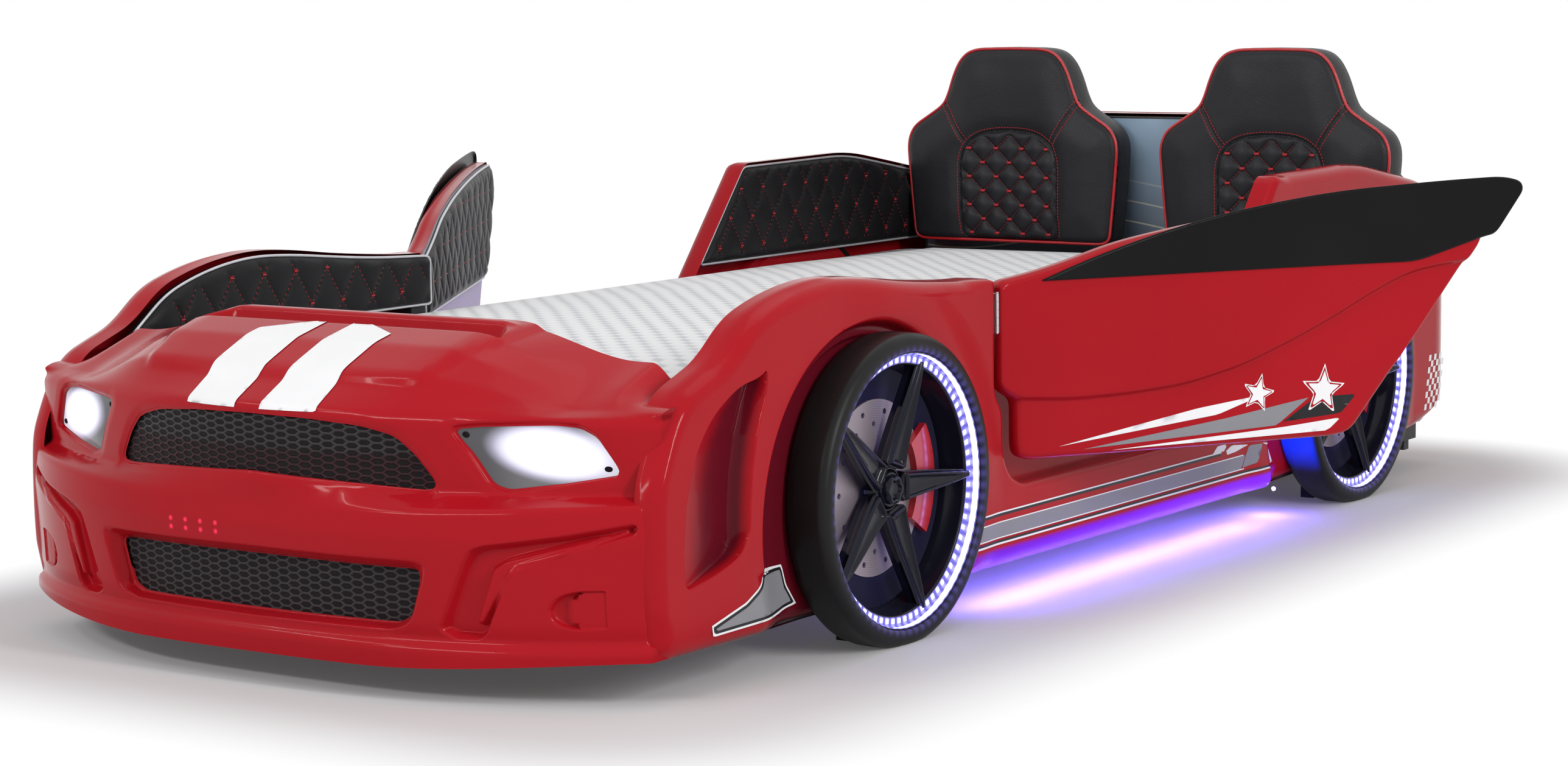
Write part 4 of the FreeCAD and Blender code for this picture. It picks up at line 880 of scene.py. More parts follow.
def side_surface(y, z, lift=0.0, edges=True):
    """The left moulding's outer face; without edges it stays flat out to its outline."""
    flat = np.stack([y, z], axis=1)
    out = np.zeros(len(y))
    if edges:
        near_door = ease((y - Y_HINGE + 70) / 60) * ease((door_line(500) + 60 - y) / 60)
        width = mix(mix(17.0, 6.0, near_door), 30.0, ease((110 - z) / 40))
        inside = np.clip(1 + distance(flat, SIDE) / width, 0, 1)
        tail = np.clip((y - Y_REAR + 70) / 70, 0, 1)
        deep = mix(mix(SHELL_EDGE, 10.0, near_door * ease((z - 100) / 20)), 3.0, tail)
        out -= deep * (1 - np.sqrt(1 - inside ** 2)) + (X_SKIN - X_QUARTER - 3) * tail ** 1.6
    arch = from_arch(y, z)
    # low down before the wheel the fender runs in to its well on a long curve
    soft = ease((124 - z) / 7) * (y < Y_AXLES[0])
    # the fenders swell a little round each arch
    out += 4.0 * ease(arch / 10) * (1 - ease((arch - 30) / 55)) * ease((y - Y_AXLES[0] + 90) / 120)
    sharp = 14.0 * ease((5 - arch) / 9) + 6.0 * ease((-arch - 13) / 6)
    out -= mix(sharp, 20.0 * ease((25 - arch) / 75), soft)
    # the scoop's floor falls towards its rear wall, which is steep
    rear, front = (np.interp(z, *line) for line in (SCOOP_REAR, SCOOP_FRONT))
    wall = ease((rear - (y - Y_AXLES[0])) / SCOOP_WALL)
    run = np.clip((y - Y_AXLES[0] - front) / (rear - SCOOP_WALL - front), 0, 1)
    out -= (4.0 + SCOOP_DEPTH * run) * wall * ease(-distance(flat, scoop) / 5)
    return np.stack([X_SKIN + out + lift, y, z], axis=1)


def edge_out(points, loop):
    """Normals square to an edge, in the plane of Y and Z, pointing away from the sheet."""
    line = points[loop][:, 1:]
    ahead = np.roll(line, -1, axis=0) - np.roll(line, 1, axis=0)
    area = np.sum(line[:, 0] * np.roll(line[:, 1], -1) - np.roll(line[:, 0], -1) * line[:, 1])
    out = np.stack([np.zeros(len(line)), ahead[:, 1], -ahead[:, 0]], axis=1) * np.sign(area)
    return out / np.maximum(np.linalg.norm(out, axis=1), 1e-9)[:, None]


side_lines = [(SIDE, (-1, -2.5, -5, -9, -14, -20, -27), 6), (scoop, (2, 0.5, -0.7, -2, -3.5, -5, -8), 3)]
foot = np.array([(Y_AXLES[0] + y - SCOOP_WALL / 2, z) for z, y in zip(*SCOOP_REAR)])
band = np.vstack([foot + (SCOOP_WALL / 2 + 1, 0), (foot - (SCOOP_WALL / 2 + 1, 0))[::-1]])
side_lines.append((band, (0, -2, -4, -6), 4))
for axle in Y_AXLES:
    for radius in (12, 6, 4, 2, 0, -2, -5, -12, -14, -16, -19, -24):
        arch = circle(axle + ARCH_SHIFT, AXLE_HEIGHT + ARCH_SHIFT, ARCH_RADIUS + radius)
        side_lines.append((arch, (0,), 6))
flat, faces, loops = tessellate(SIDE, 15.0, side_lines, edge_step=6)
side = side_surface(flat[:, 0], flat[:, 1])
loop = loops[0]
edge_y, edge_z = side[loop, 1], side[loop, 2]
reach = np.where(edge_y > Y_HINGE - 10, X_QUARTER - 8, X_ROLL)
reach = np.where(edge_z < 300, X_SKIN - 32, reach)
move = np.zeros((len(loop), 3))
move[:, 0] = reach - side[loop, 0]
side, faces = skirt(side, faces, loop, [move * 0.5, move * 0.5])
normals = facing(side_surface, flat)
edges = edge_out(side, loop)
normals = np.vstack([normals, edges, edges])
back = len(side)
recess = [(Y_HINGE - 7, 140), (door_line(140, DOOR_GAP) + 4, 140), (door_line(302, DOOR_GAP) + 4, 302),
          (Y_HINGE - 7, 302)]
side = np.vstack([side, [(X_RECESS, y, z) for y, z in recess]])
normals = np.vstack([normals, [(1, 0, 0)] * 4])
faces.append((back, back + 1, back + 2, back + 3))
for made in pair("side_moulding", side, faces, ("bed", "bed"), RED, normals=normals):
    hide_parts(made.name.replace("moulding", "shell"))

# ---- stickers on the sides -----------------------------------------------------------------------
# Cut film on the red plastic: a grey panel before the front wheel, a banded strip along the sill
# and a pattern of checks on the rear quarter.
def side_film(y, z, lift):
    return side_surface(y, z, lift, edges=False)


def both_sides(name, outline, spacing, surface, bodies, look, lift=STICKER):
    flat, faces, _ = tessellate(np.array(outline, float), spacing, edge_step=spacing)
    return pair(name, surface(flat[:, 0], flat[:, 1], lift), faces, bodies, look)


def shrunk(outline, inset):
    """An outline with straight sides moved inwards."""
    points = np.array(outline, float)
    area = np.sum(points[:, 0] * np.roll(points[:, 1], -1) - np.roll(points[:, 0], -1) * points[:, 1])
    moved = []
    for i, corner in enumerate(points):
        before, after = corner - points[i - 1], points[(i + 1) % len(points)] - corner
        normals = [np.array([-e[1], e[0]]) / np.linalg.norm(e) * np.sign(area) for e in (before, after)]
        moved.append(corner + inset * (normals[0] + normals[1]) / max(1 + normals[0] @ normals[1], 0.4))
    return np.array(moved)


BED_SIDES = ("bed", "bed")
PANEL = [(-932, 77), (-864, 93), (-841, 104), (-831, 110), (-824, 122), (-763, 120), (-754, 95), (-733, 69),
         (-776, 65), (-930, 64)]
for index, (inset, look) in enumerate(((0, WHITE), (2.6, BLACK), (6.0, GREY))):
    both_sides("fender_film_%d" % index, shrunk(PANEL, inset), 6.0, side_film, BED_SIDES, look,
               STICKER * (index + 1))
SILL_START, SILL_SLANT = Y_AXLES[0] + 160.0, 0.6
SILL_BANDS = (
    (116.5, 118.5, WHITE, 330), (113, 116.5, BLACK, 330), (104.5, 106, WHITE, 400), (86, 104.5, GREY, 402),
    (84.5, 86, WHITE, 402), (79, 82, BLACK, 520), (76.5, 79, WHITE, 532))
for index, (low, high, look, end) in enumerate(SILL_BANDS):
    line = [(SILL_START, low), (end - (high - low) * SILL_SLANT, low), (end, high), (SILL_START, high)]
    both_sides("sill_film_%d" % index, line, 8.0, side_film, BED_SIDES, look)
SILL_SHAPES = (
    ([(345, 112), (372, 113), (411, 119), (360, 124), (341, 118)], WHITE),
    ([(394, 87), (438, 90), (451, 116), (412, 118)], GREY),
    ([(532, 77), (511, 110), (451, 117), (462, 113), (507, 107), (524, 80)], WHITE),
    ([(335, 118.5), (345, 126), (338, 128), (315, 128), (300, 118.5)], WHITE))
for index, (line, look) in enumerate(SILL_SHAPES):
    both_sides("sill_shape_%d" % index, line, 8.0, side_film, BED_SIDES, look)


def checks(y_start, y_end, z_low, z_high, columns, rows, lean):
    """Small upright bars in a chequered pattern that leans back."""
    points, faces = [], []
    wide, tall = (y_end - y_start) / columns, (z_high - z_low) / rows
    for i in range(columns):
        for k in range(rows):
            if (i + k) % 2:
                continue
            for a, b in ((0.06, 0.0), (0.94, 0.0), (0.94, 1.0), (0.06, 1.0)):
                z = z_low + (k + b) * tall
                points.append((y_start + (i + a) * wide + (z - z_low) * lean, z))
            n = len(points)
            faces.append((n - 4, n - 3, n - 2, n - 1))
    return np.array(points), faces


flat, faces = checks(1040, 1100, 97, 184, 6, 9, 0.22)
pair("quarter_checks", side_film(flat[:, 0], flat[:, 1], STICKER), faces, BED_SIDES, WHITE)

# ---- doors ---------------------------------------------------------------------------------------
# A red moulding on a white-faced board, proud above a stepped crease, with a black wing along its top.
# Each door is modelled shut and turned out about its hinge to where it stands.
REST_OPENING = math.radians(-hinge["range_deg"][0])
X_DOOR_IN = X_SKIN - 26.0
DOOR_STEP, CREASE_WIDTH = 8.0, 9.0
DOOR_BODIES = ("left_door", "right_door")
DOOR = rounded([(3, 406), (12, 413), (58, 421), (112, 434), (177, 453), (237, 464), (321, 477), (462, 491),
                (610, 500), (735, 503), (748, 492), DOOR_TIP, DOOR_KNEE, (509, 181), (48, 181), (35, 186),
                (30, 196), (30, 260), (12, 270), (3, 282)],
               [3, 6, 30, 30, 40, 40, 60, 60, 60, 8, 6, 16, 16, 10, 12, 6, 12, 10, 10, 6])
DOOR_CREASE = np.array([(-20, 267), (17, 267), (111, 261), (194, 263), (278, 270), (363, 289), (449, 321),
                        (507, 346), (566, 375), (625, 400), (685, 409), (721, 412), (800, 414)], float)


def crease_height(d):
    total = np.zeros(len(d))
    for shift in (-24, -12, 0, 12, 24):
        total += np.interp(d + shift, DOOR_CREASE[:, 0], DOOR_CREASE[:, 1])
    return total / 5


def door_surface(d, z, lift=0.0, edges=True):
    out = -DOOR_STEP * ease((crease_height(d) - z) / CREASE_WIDTH)
    # the lower face swells again below the crease, and the upper one is slightly hollow
    out += 3.0 * ease((crease_height(d) - CREASE_WIDTH - z) / 90)
    if edges:
        width = mix(11.0, 6.0, ease((z - 262) / 20))
        inside = np.clip(1 + distance(np.stack([d, z], axis=1), DOOR) / width, 0, 1)
        out -= 10.0 * (1 - np.sqrt(1 - inside ** 2))
    return opened(np.stack([X_SKIN + out + lift, Y_HINGE + d, z], axis=1))


def opened(points):
    """The left door's points, turned from shut to where it stands open."""
    dx, dy = points[:, 0] - X_HINGE, points[:, 1] - Y_HINGE
    c, s = math.cos(REST_OPENING), math.sin(REST_OPENING)
    return np.stack([X_HINGE + dx * c + dy * s, Y_HINGE - dx * s + dy * c, points[:, 2]], axis=1)


def opened_way(directions):
    """Directions on the shut left door, turned as the door is."""
    hinge_line = np.array([(X_HINGE, Y_HINGE, 0.0)])
    return opened(directions + hinge_line) - opened(hinge_line)


ds = np.arange(-10, 790, 8.0)
crease_points = np.concatenate([np.stack([ds, crease_height(ds) - k], axis=1)
                                for k in (-3, 0, 2, 4.5, 7, 9.5, 12, 14, 17)])
grid = grid_of(np.arange(0, 780, 14.0), np.arange(180, 520, 14.0))
near_crease = crease_height(grid[:, 0]) - grid[:, 1]
grid = np.vstack([crease_points, grid[(near_crease < -9) | (near_crease > 23)]])
flat, faces, loops = tessellate(DOOR, 14.0, [(DOOR, (-1, -2.5, -4.5, -7, -10), 6)], grid=grid, edge_step=6)
door = door_surface(flat[:, 0], flat[:, 1])
edges = opened_way(edge_out(np.insert(flat, 0, 0.0, axis=1), loops[0]))
normals = np.vstack([facing(door_surface, flat), edges, edges])
rim = flat[loops[0]]
behind = np.column_stack([np.full(len(rim), X_DOOR_IN + 0.5), Y_HINGE + rim[:, 0], rim[:, 1]])
move = opened(behind) - door[loops[0]]
door, faces = skirt(door, faces, loops[0], [move * 0.5, move * 0.5])
for made in pair("door_moulding", door, faces, DOOR_BODIES, RED, normals=normals):
    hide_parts(made.name.replace("moulding", "shell"))

WING = rounded([(62, 411), (112, 429), (166, 446), (255, 470), (362, 491), (506, 509), (683, 517), (774, 519),
                (803, 512), (808, 500), (763, 442), (745, 439), (635, 410), (507, 411)],
               [4, 40, 40, 60, 60, 60, 60, 20, 10, 8, 12, 8, 20, 30])
WING_THICK = 4.0


def wing_surface(d, z, x=X_SKIN + WING_THICK):
    inside = np.clip(1 + distance(np.stack([d, z], axis=1), WING) / 2.5, 0, 1)
    return opened(np.stack([x - 2.0 * (1 - np.sqrt(1 - inside ** 2)), Y_HINGE + d, z], axis=1))


def satin_black(field):
    haze = field.noise(3.0, 2.0).fade(0.3, 0.7)
    return {"Base Color": haze.mix((0.0065, 0.006, 0.0065), (0.009, 0.0085, 0.009)),
            "Roughness": haze * 0.06 + 0.30, "Normal": field.noise(1200.0).bump(0.10, 0.001)}


WING_BLACK = material("wing", satin_black, Specular_IOR_Level=0.09)
flat, faces, loops = tessellate(WING, 20.0, [(WING, (-0.8, -1.6, -3), 4)], edge_step=4)
wing = wing_surface(flat[:, 0], flat[:, 1])
edges = opened_way(edge_out(np.insert(flat, 0, 0.0, axis=1), loops[0]))
normals = np.vstack([facing(wing_surface, flat), edges])
inward = opened_way(np.array([(2.0 - WING_THICK, 0.0, 0.0)]))[0]
wing, faces = skirt(wing, faces, loops[0], [inward])
for made in pair("wing_panel", wing, faces, DOOR_BODIES, WING_BLACK, normals=normals):
    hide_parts(made.name.replace("wing_panel", "door_wing"))

# film on the doors: streaks that sweep back to two stars, each star a rim, a gap and a middle
def door_film(d, z, lift):
    return door_surface(d, z, lift, edges=False)


def star(d, z, radius, turn, points=5, waist=0.42):
    found = []
    for k in range(2 * points):
        r = radius if k % 2 == 0 else radius * waist
        angle = turn + math.pi * k / points
        found.append((d + r * math.sin(angle), z + r * math.cos(angle)))
    return found


STREAKS = (
    ([(92, 196), (330, 222), (400, 244), (300, 232)], WHITE),
    ([(128, 190), (420, 202), (470, 236), (340, 216)], GREY),
    ([(170, 186), (500, 190), (520, 206), (430, 199)], WHITE),
    ([(430, 206), (520, 212), (545, 236), (482, 236)], BLACK),
)
for index, (line, look) in enumerate(STREAKS):
    both_sides("door_streak_%d" % index, line, 9.0, door_film, DOOR_BODIES, look, STICKER)
for index, (d, z, radius, turn) in enumerate(((392, 246, 27, 0.25), (492, 244, 36, 0.1))):
    for name, share, look, lift in (("rim_", 1.0, WHITE, 2), ("gap_", 0.88, RED, 3), ("", 0.74, WHITE, 4)):
        both_sides("door_star_%s%d" % (name, index), star(d, z, radius * share, turn), 7.0, door_film,
                   DOOR_BODIES, look, STICKER * lift)

# ---- wheels --------------------------------------------------------------------------------------
# Each wheel is a hollow black plastic tyre with a glossy five-spoke rim, fixed to the floor of its
# well and flat where it stands. A strip of white LEDs runs round the inside of the rim's edge.
WHEEL_X = X_WELL + 0.3
TYRE_FACE, TYRE_RADIUS, TYRE_BORE, TYRE_SHOULDER = 61.7, 190.0, 168.0, 13.0
LED_COUNT, LED_SIZE, LED_RADIUS = 74, 5.6, 158.0
STRIP_BACK, STRIP_FRONT = 45.0, 56.0
RIM_STEP, BARREL_BACK = 151.0, 145.0
HUB_FACE, HUB_RADIUS = 30.0, 30.0
HUB_SIDES, HUB_LOBES, LOBE_HEIGHT = 96, 6, 1.3
SPOKES, SPOKE_START, SPOKE_END = 5, 27.0, 158.0
SPOKE_HALF, SPOKE_TIP = 19.0, 5.0     # half its width at the hub and at its end


def lathe(profile, count=180):
    """Turns (x, radius) points round the X axis into rings of a wheel."""
    profile = np.array(profile, float)
    angles = np.linspace(0, 2 * math.pi, count, endpoint=False)
    points = np.concatenate([np.stack([np.full(count, x), r * np.cos(angles), r * np.sin(angles)], axis=1)
                             for x, r in profile])
    return points, ring_faces(len(profile), count)


def joined(parts):
    """Several lists of points and faces as one."""
    points, faces, start = [], [], 0
    for some_points, some_faces in parts:
        points.append(np.asarray(some_points, float))
        faces += [tuple(start + i for i in f) for f in some_faces]
        start += len(some_points)
    return np.vstack(points), faces


def turned(points, angle):
    c, s = math.cos(angle), math.sin(angle)
    x, y, z = np.asarray(points).T
    return np.stack([x, y * c - z * s, y * s + z * c], axis=1)


def four_wheels(name, points, faces, look, sharp=None):
    made = []
    for index, place in enumerate(("front", "rear")):
        there = points + np.array([WHEEL_X, Y_AXLES[index], AXLE_HEIGHT])
        made.append(piece("%s_left_%s" % (place, name), there, faces, "bed", look, sharp))
        made.append(piece("%s_right_%s" % (place, name), flipped(there), faces, "bed", look, sharp))
    return made


def from_axle(field):
    """Distance from the nearer axle, and the turn round it."""
    _, y, z = field.place()
    middle = (Y_AXLES[0] + Y_AXLES[1]) / 2
    along_y = abs(y - middle) - (Y_AXLES[1] - Y_AXLES[0]) / 2
    up_z = z - AXLE_HEIGHT
    return (along_y * along_y + up_z * up_z).math("SQRT"), up_z.math("ARCTAN2", along_y)


def led_tick(angle):
    """1 at the middle of each LED of the ring, and 0 between two."""
    return (angle * LED_COUNT).math("COSINE") * 0.5 + 0.5


def tyre_paint(field):
    radius, angle = from_axle(field)
    # painted light: the face round the tyre's bore glows in ticks, as lit by the LEDs beside it
    glow = (1 - radius.fade(TYRE_BORE - 1, TYRE_BORE + 10)) * (led_tick(angle) * 0.8 + 0.2)
    x, y, z = field.place()
    face = abs(x).fade(X_WELL + TYRE_FACE - 8, X_WELL + TYRE_FACE - 2)
    # painted light: the lower front of the rear tyres glows blue, as lit by the lamps under the bed
    painted_blue_light = y.fade(500.0, 545.0) * (1 - y.fade(548.0, 585.0)) * (1 - z.fade(120.0, 200.0))
    ticks = (glow * face).mix((0, 0, 0), (0.05, 0.04, 0.20))
    return {"Base Color": field.noise(9.0, 3.0).mix((0.0095, 0.0092, 0.0098), (0.013, 0.0125, 0.0132)),
            "Roughness": field.noise(30.0, 5.0).fade(0.2, 0.8) * 0.12 + 0.33,
            "Emission Color": (painted_blue_light * (1 - face)).mix(ticks, (0.0, 0.03, 1.1)),
            "Normal": field.noise(800.0).bump(0.12, 0.001)}


RUBBER = material("tyre", tyre_paint, Specular_IOR_Level=0.16, Emission_Strength=1.0)
profile = [(TYRE_FACE - 17, TYRE_BORE - 0.5), (TYRE_FACE - 5, TYRE_BORE - 0.5), (TYRE_FACE - 2.2, TYRE_BORE),
           (TYRE_FACE - 0.8, TYRE_BORE + 1.2), (TYRE_FACE - 0.1, TYRE_BORE + 3.2), (TYRE_FACE, TYRE_BORE + 6)]
for angle in np.linspace(0.0, math.pi / 2, 10):
    profile.append((TYRE_FACE - 0.4 - TYRE_SHOULDER * 0.95 * (1 - math.cos(angle)),
                    TYRE_RADIUS - TYRE_SHOULDER + TYRE_SHOULDER * math.sin(angle)))
profile += [(TYRE_FACE - 26, TYRE_RADIUS + 0.4), (TYRE_FACE - 44, TYRE_RADIUS), (8, TYRE_RADIUS - 2),
            (2, TYRE_RADIUS - 6), (0.5, TYRE_RADIUS - 14)]
points, faces = lathe(profile, 220)
points[:, 2] = np.maximum(points[:, 2], -AXLE_HEIGHT)
for made in four_wheels("tyre_moulding", points, faces, RUBBER):
    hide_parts(made.name.replace("_moulding", ""))


def gloss_black(field):
    haze = field.noise(12.0, 3.0)
    return {"Base Color": haze.mix((0.006, 0.006, 0.012), (0.010, 0.010, 0.018)),
            "Roughness": haze.fade(0.3, 0.8) * 0.07 + 0.12, "Normal": field.noise(6.0).bump(0.10, 0.002)}


GLOSS = material("rim", gloss_black, Coat_Weight=0.1, Coat_Roughness=0.04, Specular_IOR_Level=0.16)


def dish_paint(field):
    radius, _ = from_axle(field)
    # painted light: the dish glows a faint blue, strongest round the hub, for the light of the LED ring
    painted_blue_light = 1 - radius.fade(60.0, 150.0)
    return {"Base Color": field.noise(20.0, 3.0).mix((0.008, 0.008, 0.020), (0.014, 0.013, 0.032)),
            "Roughness": field.noise(16.0, 3.0).fade(0.3, 0.8) * 0.1 + 0.28,
            "Emission Color": painted_blue_light.mix((0.002, 0.002, 0.006), (0.006, 0.005, 0.026))}


DISH = material("rim_dish", dish_paint, Emission_Strength=1.0, Specular_IOR_Level=0.05)
barrel = [
    (TYRE_FACE - 5, TYRE_BORE - 0.6), (TYRE_FACE - 4.6, TYRE_BORE - 2.0), (STRIP_FRONT, TYRE_BORE - 2.4),
    (STRIP_BACK, TYRE_BORE - 2.4), (STRIP_BACK - 0.8, TYRE_BORE - 3.4), (STRIP_BACK - 1, RIM_STEP + 2),
    (STRIP_BACK - 2, RIM_STEP + 0.4), (STRIP_BACK - 4, RIM_STEP), (24, RIM_STEP - 1.5),
    (20, RIM_STEP - 4.5), (10, BARREL_BACK)]


def spoke_width(r):
    t = np.clip((r - SPOKE_START) / (SPOKE_END - SPOKE_START), 0, 1)
    return SPOKE_TIP + (SPOKE_HALF - SPOKE_TIP) * (1 - t) ** 0.85


side_r = np.linspace(SPOKE_START, SPOKE_END, 22)
spoke = [(r, -spoke_width(r)) for r in side_r] + [(r, spoke_width(r)) for r in side_r[::-1]]
spoke = rounded(spoke, [9] + [3] * 20 + [1, 1] + [3] * 20 + [9])
spoke_lines = [(spoke, (-0.6, -1.5, -3, -4.5, -6, -8), 3)]
spoke_flat, spoke_faces, spoke_loops = tessellate(spoke, 5.0, spoke_lines, edge_step=2.5)
r, t = spoke_flat.T
from_side = np.minimum(spoke_width(r) - np.abs(t), r - SPOKE_START)
run = (r - 34) / 120
rise = mix(HUB_FACE + 1.0, STRIP_BACK - 1.0, ease(run) * 0.55 + 0.45 * np.clip(run, 0, 1))
ridge = 7.5 * np.exp(-((from_side - 4.2) / 2.7) ** 2) * mix(1.0, 0.55, np.clip((r - 30) / 130, 0, 1))
roll = 3.5 * (1 - np.sqrt(1 - np.clip(1 - from_side / 3.0, 0, 1) ** 2))
spoke_points = np.stack([rise + ridge - roll, r, t], axis=1)
spoke_points, spoke_faces = skirt(spoke_points, spoke_faces, spoke_loops[0], [(-7, 0, 0), (-7, 0, 0)])
rim_parts = [lathe(barrel)]
for k in range(SPOKES):
    rim_parts.append((turned(spoke_points, 2 * math.pi * k / SPOKES), spoke_faces))
rim_parts.append(lathe([(12, HUB_RADIUS + 6), (20, HUB_RADIUS + 3), (HUB_FACE - 3, HUB_RADIUS - 2),
                        (HUB_FACE - 1, HUB_RADIUS - 5), (HUB_FACE - 2, 24), (HUB_FACE - 9, 22.5)], 72))
points, faces = joined(rim_parts)
for made in four_wheels("rim_moulding", points, faces, GLOSS):
    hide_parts(made.name.replace("_moulding", ""))

# the dish behind the spokes, with a shallow ring pressed in it
points, faces = lathe([(10, BARREL_BACK), (6, 136), (5, 120), (4.3, 60), (4.3, 20), (4.3, 1)], 120)
for made in four_wheels("rim_dish", points, faces, DISH):
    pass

# hub cap: a round cap with six lobes and a recessed middle, from rows of rise, radius and lobe
angles = np.linspace(0, 2 * math.pi, HUB_SIDES, endpoint=False)
rows = []
for rise, radius, lobe in ((-9, 22, 0), (-1, 22, 0), (1, 20.5, 0), (1, 18.5, 0.2), (7, 17, 1), (9, 15, 1),
                           (9, 12.5, 1), (5, 10.5, 1), (4, 6, 0.3), (4, 0.2, 0)):
    wave = radius + lobe * LOBE_HEIGHT * np.cos(HUB_LOBES * angles)
    x = np.full(HUB_SIDES, HUB_FACE + rise)
    rows.append(np.stack([x, wave * np.cos(angles), wave * np.sin(angles)], axis=1))
caps = four_wheels("hub_cap", np.concatenate(rows), ring_faces(len(rows), HUB_SIDES), GLOSS, sharp=40)
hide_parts("hub_caps")


# the lamp strip: a lit band, a glow painted on the plastic either side of it, and the LEDs themselves
def strip_paint(field):
    _, angle = from_axle(field)
    tick = led_tick(angle)
    return {"Base Color": tick.mix((0.5, 0.5, 0.6), (0.7, 0.7, 0.8)),
            "Emission Color": tick.mix((1.1, 0.95, 3.6), (2.8, 2.6, 7.0))}


STRIP = material("lamp_strip", strip_paint, Emission_Strength=1.0)


def chip_paint(field):
    flicker = field.noise(25.0)
    return {"Emission Color": flicker.mix((0.50, 0.48, 1.6), (0.55, 0.52, 1.7)),
            "Base Color": flicker.mix((0.7, 0.7, 0.8), (0.8, 0.8, 0.8))}


CHIP = material("lamp_ring", chip_paint, Emission_Strength=3.0)


def painted_glow_paint(field):
    # painted light: the plastic beside the strip glows in ticks, as lit by the LEDs
    _, angle = from_axle(field)
    tick = led_tick(angle)
    return {"Base Color": tick.mix((0.02, 0.02, 0.05), (0.05, 0.05, 0.1)),
            "Emission Color": tick.mix((0.10, 0.08, 0.55), (0.42, 0.40, 1.1))}


PAINTED_GLOW = material("lamp_haze", painted_glow_paint, Emission_Strength=1.0)
points, faces = lathe([(STRIP_FRONT - 0.5, TYRE_BORE - 2.7), (STRIP_BACK + 2.5, TYRE_BORE - 2.7)], 240)
for made in four_wheels("lamp_strip", points, faces, STRIP):
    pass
points, faces = joined([
    lathe([(STRIP_FRONT + 0.6, TYRE_BORE - 3.2), (STRIP_FRONT + 0.6, TYRE_BORE - 0.8)], 240),
    lathe([(STRIP_BACK + 2.5, TYRE_BORE - 2.7), (STRIP_BACK + 0.2, TYRE_BORE - 5),
           (STRIP_BACK - 0.6, LED_RADIUS - 4.5)], 240)])
for made in four_wheels("lamp_haze", points, faces, PAINTED_GLOW):
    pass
half = LED_SIZE / 2
chip = np.array([(x, LED_RADIUS + a * half, c * half) for x in (STRIP_BACK - 0.6, STRIP_BACK + 0.6)
                 for a, c in ((-1, -1), (1, -1), (1, 1), (-1, 1))])
chip_faces = [(4, 5, 6, 7), (0, 1, 5, 4), (1, 2, 6, 5), (2, 3, 7, 6), (3, 0, 4, 7)]
points, faces = joined([(turned(chip, 2 * math.pi * k / LED_COUNT), chip_faces) for k in range(LED_COUNT)])
chips = four_wheels("lamp_chips", points, faces, CHIP)
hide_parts("wheel_lamp_rings")

# ---- quilted pads --------------------------------------------------------------------------------
# Foam on thin board, covered in black leatherette that is sewn down in diamonds with red thread and
# tufted with short red bars at the crossings. A silver piping runs round each pad.
QUILT_PITCH, QUILT_LEAN, QUILT_PUFF = 62.0, math.radians(34), 5.0
STITCH_PITCH, STITCH_LENGTH, STITCH_RADIUS = 7.5, 4.4, 0.62


def lattice(flat, pitch, tall):
    """Coordinates that are whole numbers on the two sets of sewn channels."""
    a, b = flat[:, 0] / pitch, flat[:, 1] / tall
    return a + b, a - b


def lattice_grid(outline, pitch, tall, shares):
    """Points that follow the diamonds, dense along the channels."""
    low, high = outline.min(0), outline.max(0)
    reach = int((high[0] - low[0]) / pitch + (high[1] - low[1]) / tall) + 4
    first = int(np.floor(low[0] / pitch + low[1] / tall)) - 2
    last = int(np.floor(low[0] / pitch - high[1] / tall)) - 2
    u = np.concatenate([first + k + np.array(shares) for k in range(reach + 4)])
    v = np.concatenate([last + k + np.array(shares) for k in range(reach + 4)])
    uu, vv = np.meshgrid(u, v)
    points = np.stack([(uu + vv).ravel() * pitch / 2, (uu - vv).ravel() * tall / 2], axis=1)
    return points[np.all((points > low - 5) & (points < high + 5), axis=1)]


def pillow(flat, pitch, tall, plump):
    """Height of the stuffed diamonds over their channels, from 0 to 1."""
    u, v = lattice(flat, pitch, tall)
    return (np.abs(np.sin(math.pi * u)) * np.abs(np.sin(math.pi * v))) ** plump


def capsule_rows(starts, ends, radius, sides=5):
    """One low capsule for each pair of end points."""
    points, faces = [], []
    for a, b in zip(starts, ends):
        axis = b - a
        length = np.linalg.norm(axis)
        if length < 1e-6:
            continue
        axis = axis / length
        side = np.cross(axis, (0.31, 0.87, 0.38))
        side /= np.linalg.norm(side)
        other = np.cross(axis, side)
        o = len(points)
        for shift, r in ((-0.45, 0.35), (0.0, 1.0), (1.0, 1.0), (1.45, 0.35)):
            centre = a + axis * (length * np.clip(shift, 0, 1) + (shift - np.clip(shift, 0, 1)) * radius)
            for k in range(sides):
                angle = 2 * math.pi * k / sides
                points.append(centre + (side * math.cos(angle) + other * math.sin(angle)) * radius * r)
        faces += ring_faces(4, sides, o)
        faces.append(tuple(o + i for i in range(sides))[::-1])
        faces.append(tuple(o + 3 * sides + i for i in range(sides)))
    return np.array(points), faces


def sewn(line, surface, pitch, length, radius, lift=0.35):
    """Stitches along an open line of flat points, laid on a surface."""
    line = spaced(np.array(line, float), 1.0, closed=False)
    steps = np.linalg.norm(np.diff(line, axis=0), axis=1)
    place = np.concatenate([[0], np.cumsum(steps)])
    starts = np.arange(pitch * 0.4, place[-1] - length, pitch)
    ends = starts + length
    a = np.stack([np.interp(starts, place, line[:, k]) for k in (0, 1)], axis=1)
    b = np.stack([np.interp(ends, place, line[:, k]) for k in (0, 1)], axis=1)
    if len(a) == 0:
        return np.zeros((0, 3)), []
    return capsule_rows(surface(a[:, 0], a[:, 1], lift), surface(b[:, 0], b[:, 1], lift), radius)


